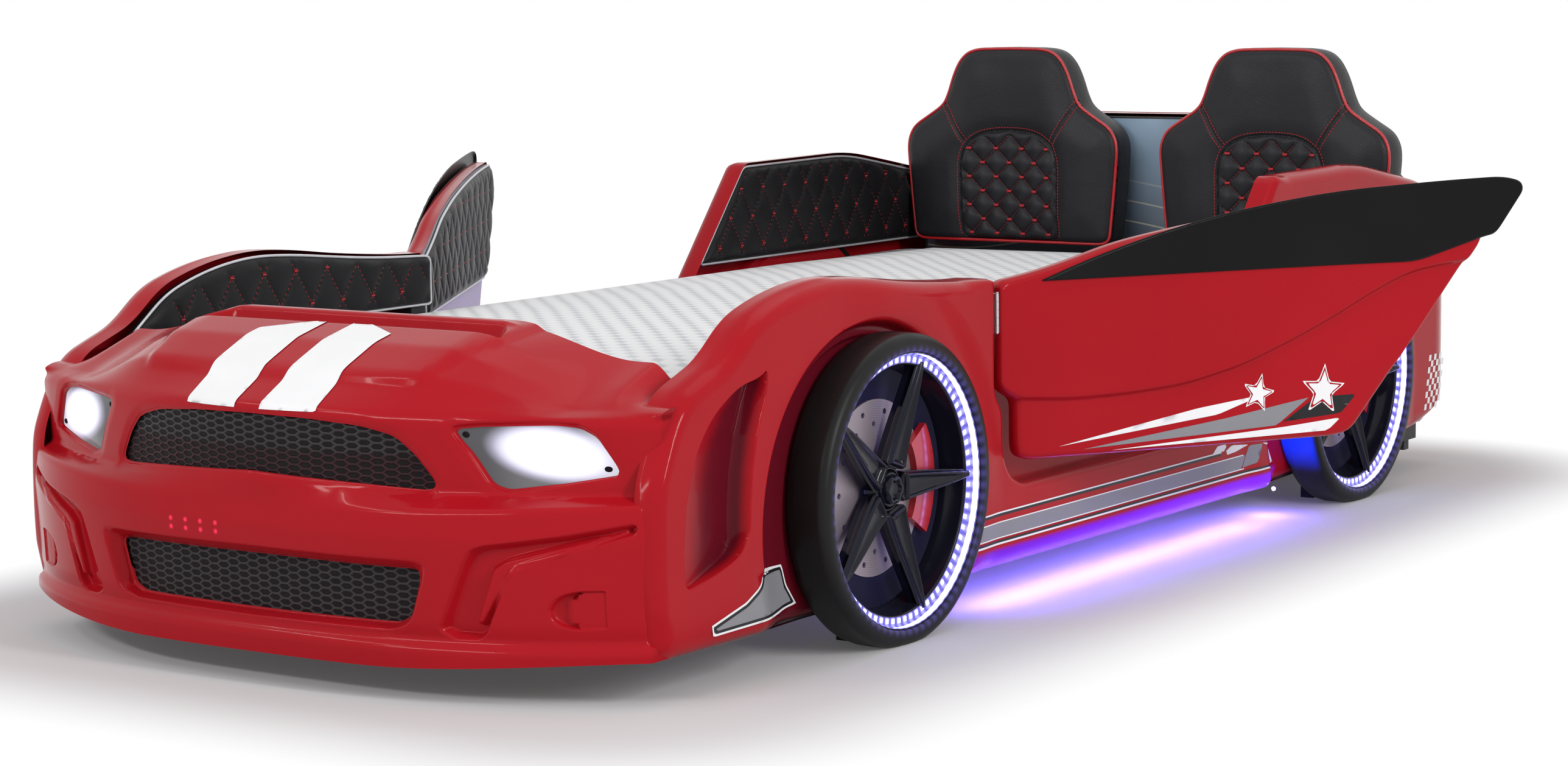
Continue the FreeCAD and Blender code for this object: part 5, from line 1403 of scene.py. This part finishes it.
def quilt_lines(outline, pitch, tall, margin):
    """The sewn channels inside an outline, as pieces of straight line."""
    low, high = outline.min(0), outline.max(0)
    found = []
    for sign in (1, -1):
        values = (low[0] / pitch - abs(high[1]) / tall, high[0] / pitch + abs(high[1]) / tall)
        for k in range(int(np.floor(min(values))) - 1, int(np.ceil(max(values))) + 2):
            zs = np.arange(low[1], high[1], 2.0)
            line = np.stack([(k - sign * zs / tall) * pitch, zs], axis=1)
            inside = distance(line, outline) < -margin
            for run in np.split(np.arange(len(line)), np.flatnonzero(np.diff(inside)) + 1):
                if inside[run[0]] and len(run) > 4:
                    found.append(line[run])
    return found


def crossings(outline, pitch, tall, margin):
    """Where the channels cross inside an outline."""
    u, v = grid_of(np.arange(-40, 60), np.arange(-40, 60)).T
    found = np.stack([(u + v) * pitch / 2, (u - v) * tall / 2], axis=1)
    return found[distance(found, outline) < -margin]


def bar_tufts(places, surface, reach, lift, radius, sides):
    """A short bar across each of the given flat points."""
    arm = np.array([reach, 0])
    return capsule_rows(surface(*(places - arm).T, lift), surface(*(places + arm).T, lift), radius, sides)


def tube(line, radius, sides=8):
    """A round cord along a closed line of points in space."""
    line = np.asarray(line, float)
    n = len(line)
    ahead = np.roll(line, -1, axis=0) - np.roll(line, 1, axis=0)
    ahead /= np.maximum(np.linalg.norm(ahead, axis=1), 1e-9)[:, None]
    side = np.cross(ahead, np.array((0.35, 0.2, 0.91)))
    side /= np.linalg.norm(side, axis=1)[:, None]
    other = np.cross(ahead, side)
    angles = np.linspace(0, 2 * math.pi, sides, endpoint=False)
    round_it = side[:, None] * np.cos(angles)[:, None] + other[:, None] * np.sin(angles)[:, None]
    points = (line[:, None] + radius * round_it).reshape(-1, 3)
    faces = []
    for i in range(n):
        j = (i + 1) % n
        for k in range(sides):
            m = (k + 1) % sides
            faces.append((i * sides + k, i * sides + m, j * sides + m, j * sides + k))
    return points, faces


def quilt_paint(field):
    grain = field.node("TexVoronoi", {"feature": "SMOOTH_F1"},
                       {"Vector": field.node("TexCoord", output="Object"), "Scale": 900.0})
    wear = field.noise(14.0, 4.0)
    return {"Base Color": wear.mix((0.0075, 0.0075, 0.0085), (0.014, 0.014, 0.0155)),
            "Roughness": wear.fade(0.3, 0.75) * 0.12 + 0.36, "Normal": grain.bump(0.18, 0.001)}


QUILT = material("quilt", quilt_paint, Specular_IOR_Level=0.16)


def thread_paint(field):
    fray = field.noise(500.0)
    return {"Base Color": fray.mix((0.30, 0.010, 0.018), (0.52, 0.020, 0.030)), "Roughness": fray * 0.2 + 0.5}


THREAD = material("red_thread", thread_paint)


def piping_paint(field):
    sheen = field.noise(60.0, 3.0)
    return {"Base Color": sheen.mix((0.55, 0.55, 0.58), (0.72, 0.72, 0.75)),
            "Roughness": sheen.fade(0.3, 0.7) * 0.12 + 0.30}


SILVER = material("silver_piping", piping_paint, Metallic=0.35)


def quilted(name, outline, face, back, place, bodies):
    """A pad from its outline: face and back are X, and place() puts the shut pad's points in the room."""
    tall = QUILT_PITCH / math.tan(QUILT_LEAN)
    shares = (0.0, 0.035, 0.09, 0.2, 0.35, 0.5, 0.65, 0.8, 0.91, 0.965)

    def surface(a, b, lift):
        flat = np.stack([a, b], axis=1)
        inside = np.clip(1 + distance(flat, outline) / 9.0, 0, 1)
        roll = (back - face) * 0.9 * (1 - np.sqrt(1 - inside ** 2))
        puff = QUILT_PUFF * pillow(flat, QUILT_PITCH, tall, 0.42) * ease(-distance(flat, outline) / 14)
        return place(np.stack([np.full(len(a), face + 2.2) + roll - puff - lift, a, b], axis=1))

    grid = lattice_grid(outline, QUILT_PITCH, tall, shares)
    lines = [(outline, (-1, -2.5, -4.5, -7, -10), 5)]
    flat, faces, loops = tessellate(outline, 8.0, lines, grid=grid, edge_step=5)
    points = surface(flat[:, 0], flat[:, 1], 0.0)
    inward = (place(np.array([(back, 0.0, 0.0)])) - place(np.array([(face, 0.0, 0.0)])))[0]
    points, faces = skirt(points, faces, loops[0], [inward * 0.4])
    pads = pair(name, points, faces, bodies, QUILT)
    threads = [sewn(line, surface, STITCH_PITCH, STITCH_LENGTH, STITCH_RADIUS)
               for line in quilt_lines(outline, QUILT_PITCH, tall, 9.0)]
    threads.append(bar_tufts(crossings(outline, QUILT_PITCH, tall, 10), surface, 3.2, 0.6, 1.3, 6))
    points, faces = joined([part for part in threads if len(part[0])])
    pair(name + "_stitches", points, faces, bodies, THREAD)
    edge = spaced(outline, 5)
    cord = place(np.stack([np.full(len(edge), mix(face, back, 0.62)), edge[:, 0], edge[:, 1]], axis=1))
    points, faces = tube(cord, 1.9)
    pair(name + "_piping", points, faces, bodies, SILVER)
    return pads


def as_built(points):
    return points


PAD_BOTTOM, PAD_GAP = 345.0, 0.3
fender_pad = shifted([(-335, PAD_BOTTOM), (-300, 372), (-258, 403), (-205, 421), (-150, 433), (-88, 439),
                      (-14, 435), (69, 426), (156, 418)], Y_AXLES[0])
fender_pad += shifted([(-10, 413), (-4, 408), (-4, PAD_BOTTOM)], Y_HINGE)
FENDER_PAD = rounded(fender_pad, [6, 20, 30, 40, 40, 50, 50, 50, 50, 6, 3, 5])
quarter_pad = [(door_line(PAD_BOTTOM, DOOR_GAP) + 6, PAD_BOTTOM), (door_line(494, DOOR_GAP) + 6, 494)]
quarter_pad += shifted([(86, 498), (206, 478), (330, 456)], Y_AXLES[1])
SEAT_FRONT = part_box("left_seat")[0].y / MM
SEAT_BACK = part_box("left_seat")[1].y / MM
quarter_pad += [(SEAT_BACK, 452), (SEAT_BACK, PAD_BOTTOM)]
QUARTER_PAD = rounded(quarter_pad, [6, 10, 50, 60, 50, 8, 8])
DOOR_PAD = rounded([(10, 322), (10, 404), (60, 415), (112, 428), (177, 448), (237, 459), (321, 472),
                    (462, 486), (610, 495), (728, 498), (740, 488), (736, 434), (661, 342), (640, 322)],
                   [5, 6, 30, 30, 40, 40, 60, 60, 60, 8, 6, 20, 12, 12])
for kind, outline, shell, thick, place, bodies in (
    ("fender", FENDER_PAD, X_ROLL, 10.0, as_built, BED_SIDES),
    ("quarter", QUARTER_PAD, X_QUARTER, 8.5, as_built, BED_SIDES),
    ("door", DOOR_PAD, X_DOOR_IN, 10.0, lambda p: opened(p + np.array([0, Y_HINGE, 0])), DOOR_BODIES),
):
    back = shell - PAD_GAP
    for made in quilted(kind + "_cushion", outline, back - thick, back, place, bodies):
        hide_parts(made.name.replace("_cushion", "_pad"))

# ---- seats ---------------------------------------------------------------------------------------
# Two backrests of foam on board, covered in grained black leatherette with red piping round the
# front. Their middles are sewn in small plump diamonds with red thread and bar tufts.
SEAT_CENTRE = 244.0
SEAT_BOTTOM, SEAT_MIDDLE = 346.0, 500.0
SEAT = rounded(both([(0, 347), (176, 347), (189, 354), (197, 430), (203, 500), (201, 520), (190, 540),
                     (160, 558), (132, 576), (122, 596), (112, 626), (100, 650), (84, 665), (62, 671),
                     (0, 672)]),
               [0.1, 14, 10, 40, 12, 10, 14, 16, 14, 14, 20, 12, 10, 14, 0.1,
                14, 10, 12, 20, 14, 14, 16, 14, 10, 12, 40, 10, 14])
SEAT_FIELD = rounded(both([(0, 352), (90, 352), (92, 478), (84, 508), (60, 526), (30, 532), (0, 533)]), 14)
FIELD_CENTRE = (0.0, 440.0)
SEAT_PITCH, SEAT_TALL = 50.0, 48.0


def seam_distance(flat, line):
    """Distance to an open line."""
    line = np.array(line, float)
    found = np.full(len(flat), 1e9)
    for a, b in zip(line, line[1:]):
        t = np.clip(((flat - a) @ (b - a)) / ((b - a) @ (b - a)), 0, 1)
        found = np.minimum(found, np.linalg.norm(flat - a - t[:, None] * (b - a), axis=1))
    return found


SEAT_SEAM = [(84, 514), (98, 535), (114, 560), (131, 584)]
SEAM_SIDEWAYS = np.array([0.82, -0.57])


def beside_seam(line, side, gap):
    """The shoulder seam of one half of the seat, moved sideways."""
    return (np.array(line) + SEAM_SIDEWAYS * gap) * (side, 1)


def seat_surface(x, z, lift=0.0):
    """The seat's front, with x from its middle."""
    flat = np.stack([x, z], axis=1)
    edge = -distance(flat, SEAT)
    field = distance(flat, SEAT_FIELD)
    inside = np.clip(1 - edge / 13.0, 0, 1)
    depth = 11.0 * (1 - np.sqrt(1 - inside ** 2))
    # the bolsters either side stand fuller than the middle
    depth -= 7.0 * ease(edge / 55) * ease(np.abs(x) / 110)
    depth -= 3.0 * ease(edge / 70)
    depth += 5.0 * np.exp(-np.clip(field - 1, 0, 60) ** 2 / 160) * (field > 0)
    depth += 4.0 * np.exp(-(field / 2.6) ** 2)
    puff = 8.5 * pillow(flat, SEAT_PITCH, SEAT_TALL, 0.5) * ease(-field / 9)
    depth += (field < 0) * 6.0 * ease(-field / 8) - puff
    seam = seam_distance(np.stack([np.abs(x), z], axis=1), SEAT_SEAM)
    depth += 2.4 * np.exp(-(seam / 3.0) ** 2)
    return np.stack([x, SEAT_FRONT + 2.0 + depth - lift, z], axis=1)


def leather_paint(field):
    grain = field.node("TexVoronoi", {"feature": "SMOOTH_F1"},
                       {"Vector": field.node("TexCoord", output="Object"), "Scale": 620.0})
    folds = field.noise(9.0, 3.0)
    return {"Base Color": folds.mix((0.014, 0.014, 0.016), (0.023, 0.023, 0.026)),
            "Roughness": grain * 0.15 + 0.34, "Normal": (grain * 0.6 + folds * 6.0).bump(0.35, 0.0012)}


LEATHER = material("leatherette", leather_paint, Specular_IOR_Level=0.2)


def red_leather_paint(field):
    folds = field.noise(40.0, 3.0)
    return {"Base Color": folds.mix((0.42, 0.010, 0.016), (0.55, 0.014, 0.020)),
            "Roughness": folds * 0.15 + 0.22}


RED_PIPING = material("red_piping", red_leather_paint, Coat_Weight=0.3)
shares = (0.0, 0.04, 0.1, 0.2, 0.35, 0.5, 0.65, 0.8, 0.9, 0.96)
grid = lattice_grid(SEAT_FIELD, SEAT_PITCH, SEAT_TALL, shares)
grid = grid[distance(grid, SEAT_FIELD) < -2]
outer = grid_of(np.arange(-204, 204, 8.0), np.arange(346, 674, 8.0))
outer = outer[distance(outer, SEAT_FIELD) > 5]
seams = [beside_seam(spaced(SEAT_SEAM, 4, closed=False), side, gap)
         for side in (1, -1) for gap in (-6, -3.5, -1.5, 0, 1.5, 3.5, 6)]
lines = [(SEAT, (-1, -2.5, -5, -8, -12), 5), (SEAT_FIELD, (-5, -3, -1.5, 0, 1.5, 3, 5.5), 4)]
flat, faces, loops = tessellate(SEAT, 8.0, lines, grid=np.vstack([grid, outer, *seams]), edge_step=5)
seat = seat_surface(flat[:, 0], flat[:, 1])
loop = loops[0]
last, moves = seat[loop], []
for y, grow in ((SEAT_FRONT + 22, 1.012), (SEAT_FRONT + 40, 1.014), (SEAT_BACK - 10, 1.008),
                (SEAT_BACK - 1, 0.985)):
    height = SEAT_MIDDLE + (seat[loop, 2] - SEAT_MIDDLE) * grow
    row = np.stack([seat[loop, 0] * grow, np.full(len(loop), y), np.maximum(height, SEAT_BOTTOM)], axis=1)
    moves.append(row - last)
    last = row
seat, faces = skirt(seat, faces, loop, moves)
start = len(seat) - len(loop)
faces = list(faces) + [tuple(range(start, start + len(loop)))]
shift = np.array([SEAT_CENTRE, 0, 0])
for made in pair("seat_cushion", seat + shift, faces, BED_SIDES, LEATHER):
    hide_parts(made.name.replace("_cushion", ""))
edge = spaced(SEAT, 4)
cord = np.stack([edge[:, 0], np.full(len(edge), SEAT_FRONT + 9.0), edge[:, 1]], axis=1)
points, faces = tube(cord, 2.6, 10)
pair("seat_piping", points + shift, faces, BED_SIDES, RED_PIPING)
welt = in_turn(ring(SEAT_FIELD, 0.6, 4), FIELD_CENTRE)
points, faces = tube(seat_surface(welt[:, 0], welt[:, 1], 0.0), 1.7)
pair("seat_welt", points + shift, faces, BED_SIDES, LEATHER)
threads = [sewn(line, seat_surface, 6.0, 3.4, 0.7, 0.3)
           for line in quilt_lines(SEAT_FIELD, SEAT_PITCH, SEAT_TALL, 4.0)]
# the row round the field is open at its foot, so it starts after its widest gap
outside = in_turn(ring(SEAT_FIELD, 6.5, 4), FIELD_CENTRE)
outside = outside[outside[:, 1] > 353]
gap = int(np.argmax(np.linalg.norm(np.diff(outside, axis=0), axis=1)))
rows = [np.roll(outside, -gap - 1, axis=0)]
rows += [beside_seam(SEAT_SEAM, side, gap) for side in (1, -1) for gap in (-5.0, 5.0)]
threads += [sewn(row, seat_surface, 5.5, 3.2, 0.7, 0.3) for row in rows]
threads.append(bar_tufts(crossings(SEAT_FIELD, SEAT_PITCH, SEAT_TALL, 5), seat_surface, 3.6, 1.2, 2.3, 8))
points, faces = joined([part for part in threads if len(part[0])])
pair("seat_stitches", points + shift, faces, BED_SIDES, THREAD)

# ---- mattress ------------------------------------------------------------------------------------
# A sprung mattress, loose on the slats, in a white ticking woven with a grey zigzag. It has a piped
# edge above and below, and its top is crowned by the filling.
low, high = (np.array(c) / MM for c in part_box("mattress"))
RIM_Z, CORNER, CROWN = 328.3, 44.0, 17.5
half_width, half_length = high[0] + 0.6, (high[1] - low[1]) / 2 + 0.6
bed_middle = (low[1] + high[1]) / 2
EDGE_STEP = 5600.0 / 300


def mattress_ring(inset, z):
    """A rounded rectangle at one height."""
    corner = max(CORNER - inset, 6.0)
    points = []
    for k, (sx, sy) in enumerate(((1, 1), (-1, 1), (-1, -1), (1, -1))):
        cx, cy = sx * (half_width - inset - corner), sy * (half_length - inset - corner)
        for t in np.linspace(0, math.pi / 2, 9):
            angle = t + k * math.pi / 2
            points.append((cx + corner * math.cos(angle), bed_middle + cy + corner * math.sin(angle)))
    line = spaced(points, EDGE_STEP)
    return np.column_stack([line, np.full(len(line), z)])


bottom = low[2]
levels = [(14, bottom), (3, bottom + 4), (0, bottom + 14), (-0.6, bottom + 60), (0, RIM_Z - 18),
          (1.5, RIM_Z - 9), (5.5, RIM_Z - 2.5), (12, RIM_Z + 2.0)]
rings = [mattress_ring(inset, z) for inset, z in levels]
count = min(len(r) for r in rings)
rings = [r[np.linspace(0, len(r) - 1, count).astype(int)] for r in rings]
points = np.concatenate(rings)
faces = ring_faces(len(rings), count)
faces.append(tuple(range(count))[::-1])
flat, top_faces, _ = tessellate(rings[-1][:, :2], 26.0, edge_step=400)
centred = np.stack([flat[:, 0] / half_width, (flat[:, 1] - bed_middle) / half_length], axis=1)
rise = (1 - np.abs(centred[:, 0]) ** 3.2) * (1 - np.abs(centred[:, 1]) ** 16)
height = RIM_Z + 2.0 + CROWN * np.clip(rise, 0, 1) ** 0.75
ripple = 0.9 * np.sin(flat[:, 0] / 61.0) * np.sin(flat[:, 1] / 83.0 + 0.4)
top = np.column_stack([flat, height + ripple * ease(rise * 4)])


BAND_PITCH, TOOTH_PITCH = 27.0, 32.0
BAND_COS, BAND_SIN = 0.667, 0.745    # the toothed bands run across at 48 degrees


def zigzag(place):
    """From 1 at whole numbers down to 0 between them."""
    return abs(place.math("FRACT") - 0.5) * 2


def ticking_paint(field):
    x, y, _ = field.place()
    tooth = zigzag((x * BAND_COS - y * BAND_SIN) / TOOTH_PITCH)
    band = zigzag((x * BAND_SIN + y * BAND_COS) / BAND_PITCH)
    mark = 1 - (band + tooth * 0.7).fade(0.25, 1.0)
    cloud = field.noise(5.0, 2.0).fade(0.2, 0.8) * 0.3 + 0.7
    weave = field.noise(420.0, 2.0)
    tone = (mark * cloud).mix((0.90, 0.90, 0.91), (0.60, 0.61, 0.64))
    return {"Base Color": tone, "Roughness": weave * 0.2 + 0.72,
            "Normal": (weave * 0.5 + mark * 0.6).bump(0.3, 0.001)}


TICKING = material("ticking", ticking_paint)
points, faces = joined([(points, faces), (top, top_faces)])
made = piece("mattress_body", points, faces, "bed", TICKING)
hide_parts("mattress")
for label, inset, z in (("upper", 0.5, RIM_Z - 13), ("lower", 1.0, bottom + 14)):
    points, faces = tube(mattress_ring(inset, z), 3.0)
    piece("mattress_piping_" + label, points, faces, "bed", TICKING)

# ---- headboard, rear and base --------------------------------------------------------------------
# Fibreboard behind the seats with a printed panel on it, and a red moulding behind that closes the
# rear. Below are the side boards, slats, beam, legs, feet, lamp strips and the door hinges.
REAR_TOP = [(430, 440), (412, 458), (396, 474), (360, 500), (300, 538), (250, 556), (190, 562), (0, 562)]
rear_half = X_QUARTER - 0.3
REAR = rounded(both([(0, 62), (rear_half - 20, 62), (rear_half, 102), (rear_half, 428)] + REAR_TOP),
               [0.1, 14, 16, 8, 8, 20, 20, 40, 40, 30, 30, 0.1, 30, 30, 40, 40, 20, 20, 8, 8, 16, 14])
REAR_PANEL = rounded(both([(0, 150), (330, 150), (350, 170), (350, 380), (310, 440), (0, 460)]), 24)
Y_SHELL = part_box("rear_shell")[0].y / MM


def rear_surface(x, z):
    flat = np.stack([x, z], axis=1)
    inside = np.clip(1 + distance(flat, REAR) / 16, 0, 1)
    depth = 22.0 * (1 - np.sqrt(1 - inside ** 2)) + 5.0 * ease(-distance(flat, REAR_PANEL) / 10)
    return np.stack([x, Y_REAR - depth, z], axis=1)


lines = [(REAR, (-1, -2.5, -5, -9, -14, -18), 6), (REAR_PANEL, (0, -3, -6, -10), 6)]
flat, faces, loops = tessellate(REAR, 16.0, lines, edge_step=7)
rear = rear_surface(flat[:, 0], flat[:, 1])
loop = loops[0]
move = np.zeros((len(loop), 3))
move[:, 1] = Y_SHELL - rear[loop, 1]
rear, faces = skirt(rear, faces, loop, [move * 0.5, move * 0.5])
made = piece("rear_moulding", rear, faces, "bed", RED)
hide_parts("rear_shell")


LAMP_RED = (1.0, 0.10, 0.16)
PANEL_PITCH = 34.0


def grain_noise(field, stretch, scale, detail):
    """Noise drawn out along one axis."""
    at = field.node("TexCoord", output="Object")
    at = field.node("Mapping", None, {"Vector": at, "Scale": stretch})
    return field.node("TexNoise", None, {"Vector": at, "Scale": scale, "Detail": detail})


def wood_paint(light, dark):
    def paint(field):
        rings = grain_noise(field, (40, 3, 40), 3.0, 4.0)
        return {"Base Color": rings.mix(dark, light), "Roughness": rings * 0.2 + 0.45,
                "Normal": rings.bump(0.1, 0.001)}
    return paint


def flecked(light, dark, rough):
    def paint(field):
        speck = field.noise(160.0, 5.0)
        return {"Base Color": speck.fade(0.3, 0.7).mix(dark, light), "Roughness": speck * 0.2 + rough}
    return paint


def panel_paint(field):
    """A gradient with thin lines that wave across its lower part."""
    x, _, z = field.place()
    wave = (x * 0.012).math("SINE") * 14
    base = (z + wave).fade(300.0, 540.0).mix((0.055, 0.065, 0.085), (0.30, 0.42, 0.55))
    row = (z + wave) / PANEL_PITCH
    line = 1 - abs(row - row.math("ROUND")).fade(0.02, 0.06)
    low = 1 - (z + wave * 0.6).fade(420.0, 470.0)
    return {"Base Color": (line * 0.5 * low).mix(base, (0.75, 0.72, 0.55)),
            "Roughness": field.noise(12.0) * 0.1 + 0.3}


def steel_paint(field):
    brush = grain_noise(field, (300, 300, 8), 4.0, 2.0)
    return {"Base Color": brush.mix((0.42, 0.42, 0.44), (0.60, 0.60, 0.62)), "Roughness": brush * 0.2 + 0.25}


def disc_paint(field):
    radius, _ = from_axle(field)
    brush = (radius * 2.2).math("SINE")
    return {"Base Color": brush.mix((0.36, 0.30, 0.34), (0.46, 0.40, 0.44)), "Roughness": brush * 0.04 + 0.42}


def red_lamp_paint(field):
    return {"Emission Color": field.noise(8.0).mix(LAMP_RED, tuple(c * 0.9 for c in LAMP_RED))}


def underglow_paint(field):
    _, y, _ = field.place()
    near = y.fade(-500.0, 780.0)
    return {"Base Color": near.mix((0.4, 0.3, 0.9), (0.5, 0.4, 0.9)),
            "Emission Color": near.mix((0.22, 0.07, 1.0), (0.38, 0.20, 1.0))}


LOOKS = {
    "screws": material("screws", flecked((0.022, 0.022, 0.022), (0.012, 0.012, 0.012), 0.35)),
    "white_plastic": material("white_plastic", flecked((0.80, 0.80, 0.82), (0.74, 0.74, 0.77), 0.4)),
    "red_lamp": material("red_lamp", red_lamp_paint, Base_Color=LAMP_RED, Emission_Strength=3.0),
    "board": material("board", flecked((0.030, 0.029, 0.031), (0.020, 0.020, 0.021), 0.5)),
    "pale_board": material("pale_board", flecked((0.62, 0.60, 0.70), (0.56, 0.54, 0.64), 0.45)),
    "disc": material("disc", disc_paint, Metallic=0.6),
    "caliper": material("caliper", red_leather_paint, Coat_Weight=0.4),
    "steel": material("steel", steel_paint, Metallic=1.0),
    "panel": material("panel", panel_paint, Coat_Weight=0.3),
    "slat": material("slat", wood_paint((0.62, 0.44, 0.27), (0.50, 0.33, 0.19))),
    "foot": material("foot", flecked((0.020, 0.020, 0.020), (0.012, 0.012, 0.012), 0.7)),
    "underglow": material("underglow", underglow_paint, Emission_Strength=2.0),
    "red_shell": RED, "grille": BLACK_PLASTIC, "lens": LENS, "quilt": QUILT, "tyre": RUBBER, "rim": GLOSS,
    "lamp_ring": CHIP, "wing": WING_BLACK, "leatherette": LEATHER, "ticking": TICKING,
}
# the lamp strips face down from behind the sills, and end in a lamp that shows
STRIP_X, STRIP_UP, STRIP_THICK = X_SKIN - 22.0, 52.0, 3.0
x0, x1, y0, y1 = STRIP_X - 8, STRIP_X + 2, Y_AXLES[0] + 130, 505
points = [(x, y, z) for z in (STRIP_UP, STRIP_UP + STRIP_THICK)
          for x, y in ((x0, y0), (x1, y0), (x1, y1), (x0, y1))]
faces = [(3, 2, 1, 0), (4, 5, 6, 7), (0, 1, 5, 4), (1, 2, 6, 5), (2, 3, 7, 6), (3, 0, 4, 7)]
strips = pair("underglow_strip", points, faces, BED_SIDES, LOOKS["underglow"])
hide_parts("underglow_strips")
BULB_SIDES, BULB_X, BULB_Y, BULB_Z = 10, X_SKIN - 8, 508.0, 41.0
turn = np.linspace(0, 2 * math.pi, BULB_SIDES, endpoint=False)
bulb = [(BULB_X, BULB_Y, BULB_Z - 1)]
for out, radius in ((0.5, 2.6), (2.5, 3.4), (5.0, 2.4)):
    bulb += [(BULB_X + out, BULB_Y + radius * math.cos(a), BULB_Z + radius * math.sin(a)) for a in turn]
faces = [(0, 1 + i, 1 + (i + 1) % BULB_SIDES) for i in range(BULB_SIDES)] + ring_faces(3, BULB_SIDES, 1)
faces.append(tuple(range(1 + 2 * BULB_SIDES, len(bulb))))
for made in pair("underglow_end_lamp", bulb, faces, BED_SIDES, CHIP) + strips:
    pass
for sign in (1, -1):
    glow = bpy.data.objects.new("underglow_light", bpy.data.lights.new("underglow_light", "AREA"))
    glow.data.shape = "RECTANGLE"
    glow.data.size, glow.data.size_y = 0.02, 0.88
    glow.data.color = (0.17, 0.10, 1.0)
    glow.data.energy = 9.0
    glow.location = (sign * (STRIP_X + 4) * MM, 0.08, 0.046)
    bpy.context.scene.collection.objects.link(glow)


def plank(line, near, far, axis):
    """A board from its outline, between two places on an axis."""
    points = np.vstack([np.insert(line, axis, place, axis=1) for place in (near, far)])
    count = len(line)
    return points, ring_faces(2, count) + [tuple(range(count))[::-1], tuple(range(count, 2 * count))]


# the front board's upper edge follows the hood
low, high = (np.array(c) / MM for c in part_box("front_board"))
across = np.linspace(0, high[0] - 1, 60)
crest = nose_surface(across, np.full(60, ROW_AT[-1] - 6.0))
line = [(x, z - 4.0) for x, _, z in crest] + [(high[0] - 1, 341.0), (X_ROLL - 2, 340.0), (X_ROLL - 2, low[2])]
line = np.array(line + [(-x, z) for x, z in reversed(line)][:-1])
points, faces = plank(line, low[1], high[1], 1)
made = piece("front_board_panel", points, faces, "bed", LOOKS["board"], sharp=30)
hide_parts("front_board")

# the side boards' lower edges are cut up between their feet
BOARD_LIFT, BOARD_FOOT, FOOT_HALF = 46.0, 27.0, 30.0
low, high = (np.array(c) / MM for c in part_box("left_side_board"))
line = [(Y_BED, BOARD_LIFT)]
for axle in Y_AXLES:
    start, end = axle - FOOT_HALF, axle + FOOT_HALF
    line += [(start, BOARD_LIFT), (start, BOARD_FOOT), (end, BOARD_FOOT), (end, BOARD_LIFT)]
line += [(Y_SHELL, BOARD_LIFT), (Y_SHELL, high[2]), (Y_BED, high[2])]
points, faces = plank(np.array(line), low[0], high[0], 0)
for made in pair("side_board_panel", points, faces, BED_SIDES, LOOKS["board"], sharp=30):
    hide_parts(made.name.replace("_panel", ""))

# the plain solids take the looks of their slots
for part in frame["record"]["subparts"]:
    node = frame["nodes"][part["node"]]
    node.data.materials.clear()
    node.data.materials.append(LOOKS[part["material_slot"]])

size = {"cad": [list(map(float, c)) for c in cad_box], "scene": [list(map(float, c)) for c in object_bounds()]}
